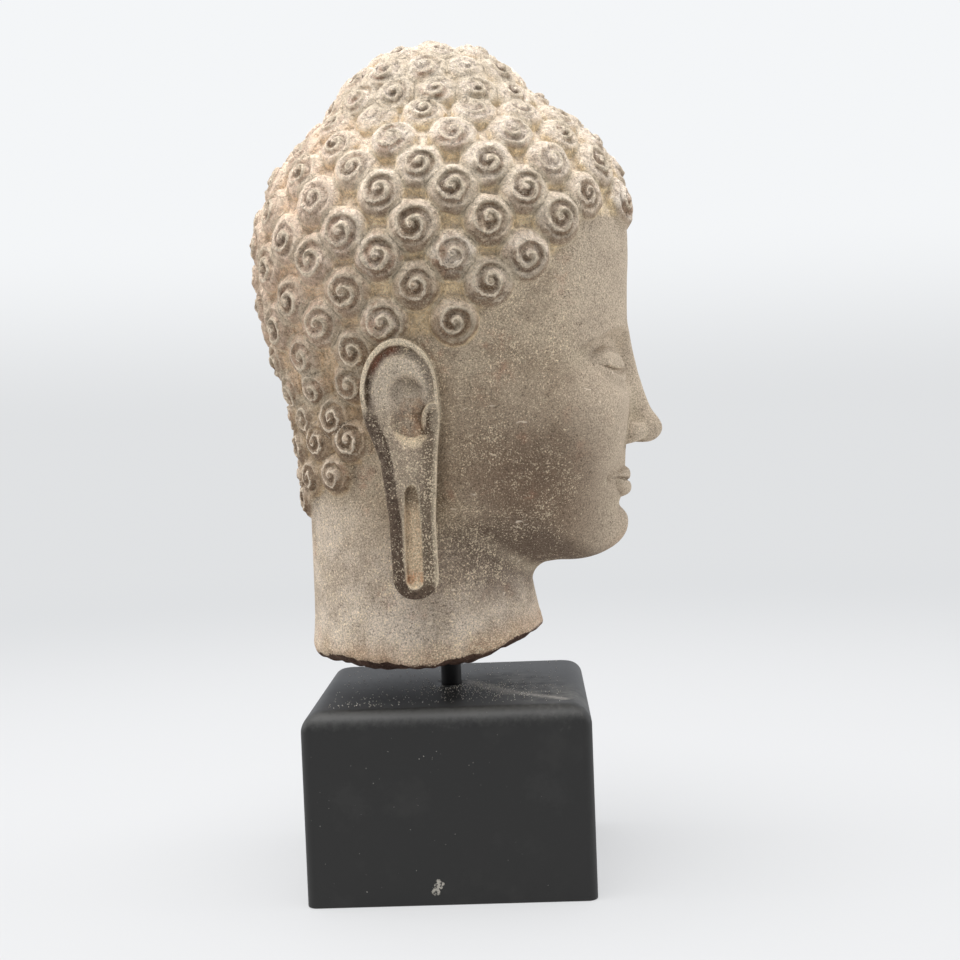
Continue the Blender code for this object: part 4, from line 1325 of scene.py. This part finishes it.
spray = noise(place, 0.8, 2.0, 0.5) + noise(place, 22.0, 2.0, 0.5) * 1.2 - chip * 1.5
plug(shader, {"Base Color": colour, "Roughness": cloud * 0.12 + haze_and_sheen * 0.12 + 0.46,
              "Specular IOR Level": 0.38, "Normal": bump(spray, 0.2, 0.3)})
plinth.data.materials.append(black_paint)
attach(plinth, "root")
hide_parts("plinth")

# ---------------------------------------------------------------------------------------------
# Stone dust. Grains of the same sandstone that have rubbed off the head and lie on the plinth's
# top, thickest round the foot of the rod and before it. They are scattered loose.
# ---------------------------------------------------------------------------------------------

DUST_TALLEST = 0.6
DUST_HALF = 66.0                # half the side of the sheet that the grains are strewn over
DUST_CELLS = 66
DUST_THINNEST = 0.05
# Each heap's share of dust at its middle, its middle, and its half sizes.
DUST_HEAPS = ((1.0, (-14.0, -6.0), (14.0, 20.0)), (0.5, (-34.0, -22.0), (20.0, 26.0)),
              (0.25, (-58.0, 50.0), (14.0, 22.0)))
DUST_FREE = 9.0                 # no dust this near the middle of the rod


def dust_tree():
    """Geometry Nodes: small broken grains over a sheet, as thick as its noted share."""
    tree, given, end = group(
        "Loose grains", "GeometryNodeTree",
        {"Sheet": "Geometry", "Grains per square metre": "Float", "Smallest": "Float", "Largest": "Float",
         "Stone": "Material", "Seed": "Int"},
        {"Grains": "Geometry"})
    seed = given["Seed"]
    spots = put(tree, "GeometryNodeDistributePointsOnFaces", {
        "Mesh": given["Sheet"], "Density": attribute(tree, "share") * given["Grains per square metre"],
        "Seed": seed})
    turn = put(tree, "FunctionNodeRandomValue", {1: (6.28, 6.28, 6.28), "Seed": seed},
               data_type="FLOAT_VECTOR")
    size = put(tree, "FunctionNodeRandomValue", {2: given["Smallest"], 3: given["Largest"], "Seed": seed},
               1, data_type="FLOAT")
    grains = put(tree, "GeometryNodeInstanceOnPoints", {
        "Points": spots, "Rotation": turn, "Scale": size,
        "Instance": put(tree, "GeometryNodeMeshIcoSphere", {"Radius": 1.0, "Subdivisions": 1})})
    grains = put(tree, "GeometryNodeRealizeInstances", {"Geometry": grains})
    grains = put(tree, "GeometryNodeSetMaterial", {"Geometry": grains, "Material": given["Stone"]})
    plug(end, {"Grains": grains})
    return tree


def dust_sheet():
    """A flat sheet over the plinth's top whose points know how thickly the dust lies."""
    row = DUST_CELLS + 1
    at = np.linspace(-DUST_HALF, DUST_HALF, row)
    height = PLINTH_HEIGHT + 0.5 * DUST_TALLEST
    corners = [i * row + j for i in range(DUST_CELLS) for j in range(DUST_CELLS)]
    mesh = mesh_of("dust_sheet", [(px * MM, py * MM, height * MM) for px in at for py in at],
                   [(a, a + row, a + row + 1, a + 1) for a in corners])
    px, py = (side.ravel() for side in np.meshgrid(at, at, indexing="ij"))
    thick = np.full(px.shape, DUST_THINNEST)
    for thickest, middle, half_size in DUST_HEAPS:
        thick = thick + thickest * swelling(oval(px, py, middle, half_size))
    note(mesh, "share", thick * (np.hypot(px, py) > DUST_FREE))
    return mesh


grain_stone = bpy.data.materials.new("loose_sandstone")
tree, shader, place = open_nodes(grain_stone)
colour = tint(between(noise(place, 2.5, 2.0, 0.5), 0.35, 0.65), ink(214, 204, 186), ink(245, 240, 230))
plug(shader, {"Base Color": colour, "Roughness": 0.9, "Normal": bump(noise(place, 0.2, 2.0, 0.5), 0.4, 0.1)})

dust = show("stone_dust", dust_sheet())
dust.data = grown(dust, dust_tree(), {
    "Grains per square metre": 300000.0, "Smallest": 0.10 * MM, "Largest": 0.5 * DUST_TALLEST * MM,
    "Stone": grain_stone, "Seed": 6})
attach(dust, "root")

# ---------------------------------------------------------------------------------------------
# Studio. A wide sheet of white paper, a bright white room, a large soft light overhead and one at
# each side of the head.
# ---------------------------------------------------------------------------------------------

FAR_WHITE = (0.745, 0.757, 0.770, 1.0)
FLOOR_HALF = 8.0                # half the side of the sheet of paper, in metres

corners = [(FLOOR_HALF * px, FLOOR_HALF * py, 0.0) for px, py in ((-1, -1), (1, -1), (1, 1), (-1, 1))]
floor = show("floor", mesh_of("floor", corners, [(0, 1, 2, 3)]))
paper = bpy.data.materials.new("white_paper")
tree, shader, place = open_nodes(paper)
plug(shader, {"Base Color": (0.60, 0.603, 0.606, 1.0), "Roughness": 0.95, "Specular IOR Level": 0.1})
away = put(tree, "ShaderNodeVectorMath", {0: place}, "Value", operation="LENGTH")
white = tint(between(away, 0.4, 1.4), (0.838, 0.842, 0.848, 1.0), FAR_WHITE)
glow = put(tree, "ShaderNodeEmission", {"Color": white})
even = between(away, 0.3, 1.8, 0.62, 1.0)
blend = put(tree, "ShaderNodeMixShader", {0: even, 1: Wire(shader.outputs[0]), 2: glow})
plug(tree.nodes["Material Output"], {"Surface": blend})
floor.data.materials.append(paper)

room = bpy.data.worlds.new("white_room")
room.use_nodes = True
tree = room.node_tree
seen = put(tree, "ShaderNodeLightPath", out="Is Camera Ray")
way = parts_of(put(tree, "ShaderNodeTexCoord", out="Generated"))
around = tint(between(way["X"], -0.9, 0.5), (0.34, 0.35, 0.37, 1.0), (0.92, 0.95, 1.0, 1.0))
wall = tint(between(way["Z"], -0.01, 0.11), FAR_WHITE, (0.905, 0.920, 0.935, 1.0))
plug(tree.nodes["Background"], {"Color": tint(seen, around, wall)})
bpy.context.scene.world = room


def soft_light(name, place, aim, size, power):
    """A square soft light that faces a point."""
    lamp = bpy.data.lights.new(name, "AREA")
    lamp.shape = "SQUARE"
    lamp.size = size
    lamp.energy = power
    body = show(name, lamp)
    body.location = place
    body.rotation_euler = (Vector(aim) - Vector(place)).to_track_quat("-Z", "Y").to_euler()


soft_light("overhead", (-0.25, 0.15, 1.9), (0.0, 0.0, 0.25), 1.1, 30.0)
soft_light("behind_the_head", (0.15, 1.7, 0.9), (0.0, 0.0, 0.3), 1.0, 9.0)
soft_light("before_the_face", (0.1, -1.7, 0.7), (0.0, 0.0, 0.3), 1.0, 8.0)

# The camera stands on the -X side of the head, beside its ear, and leans a little.
camera = bpy.data.cameras.new("camera")
camera.lens = 58.125
camera.sensor_width = 36.0
camera.clip_start = 0.01
camera.clip_end = 60.0
eye = show("camera", camera)
right_side = Vector((0.02843, -0.99886, -0.03843)).normalized()
upper_side = Vector((0.05205, -0.03691, 0.99796)).normalized()
ahead = Vector((0.99824, 0.03037, -0.05094)).normalized()
stand = eye.matrix_world.copy()
for row in range(3):
    for column, side in enumerate((right_side, upper_side, -ahead)):
        stand[row][column] = side[row]
stand.translation = (-0.9156, -0.0494, 0.2754)
eye.matrix_world = stand
bpy.context.scene.camera = eye
bpy.context.scene.view_settings.view_transform = "Standard"

low, high = cad_box
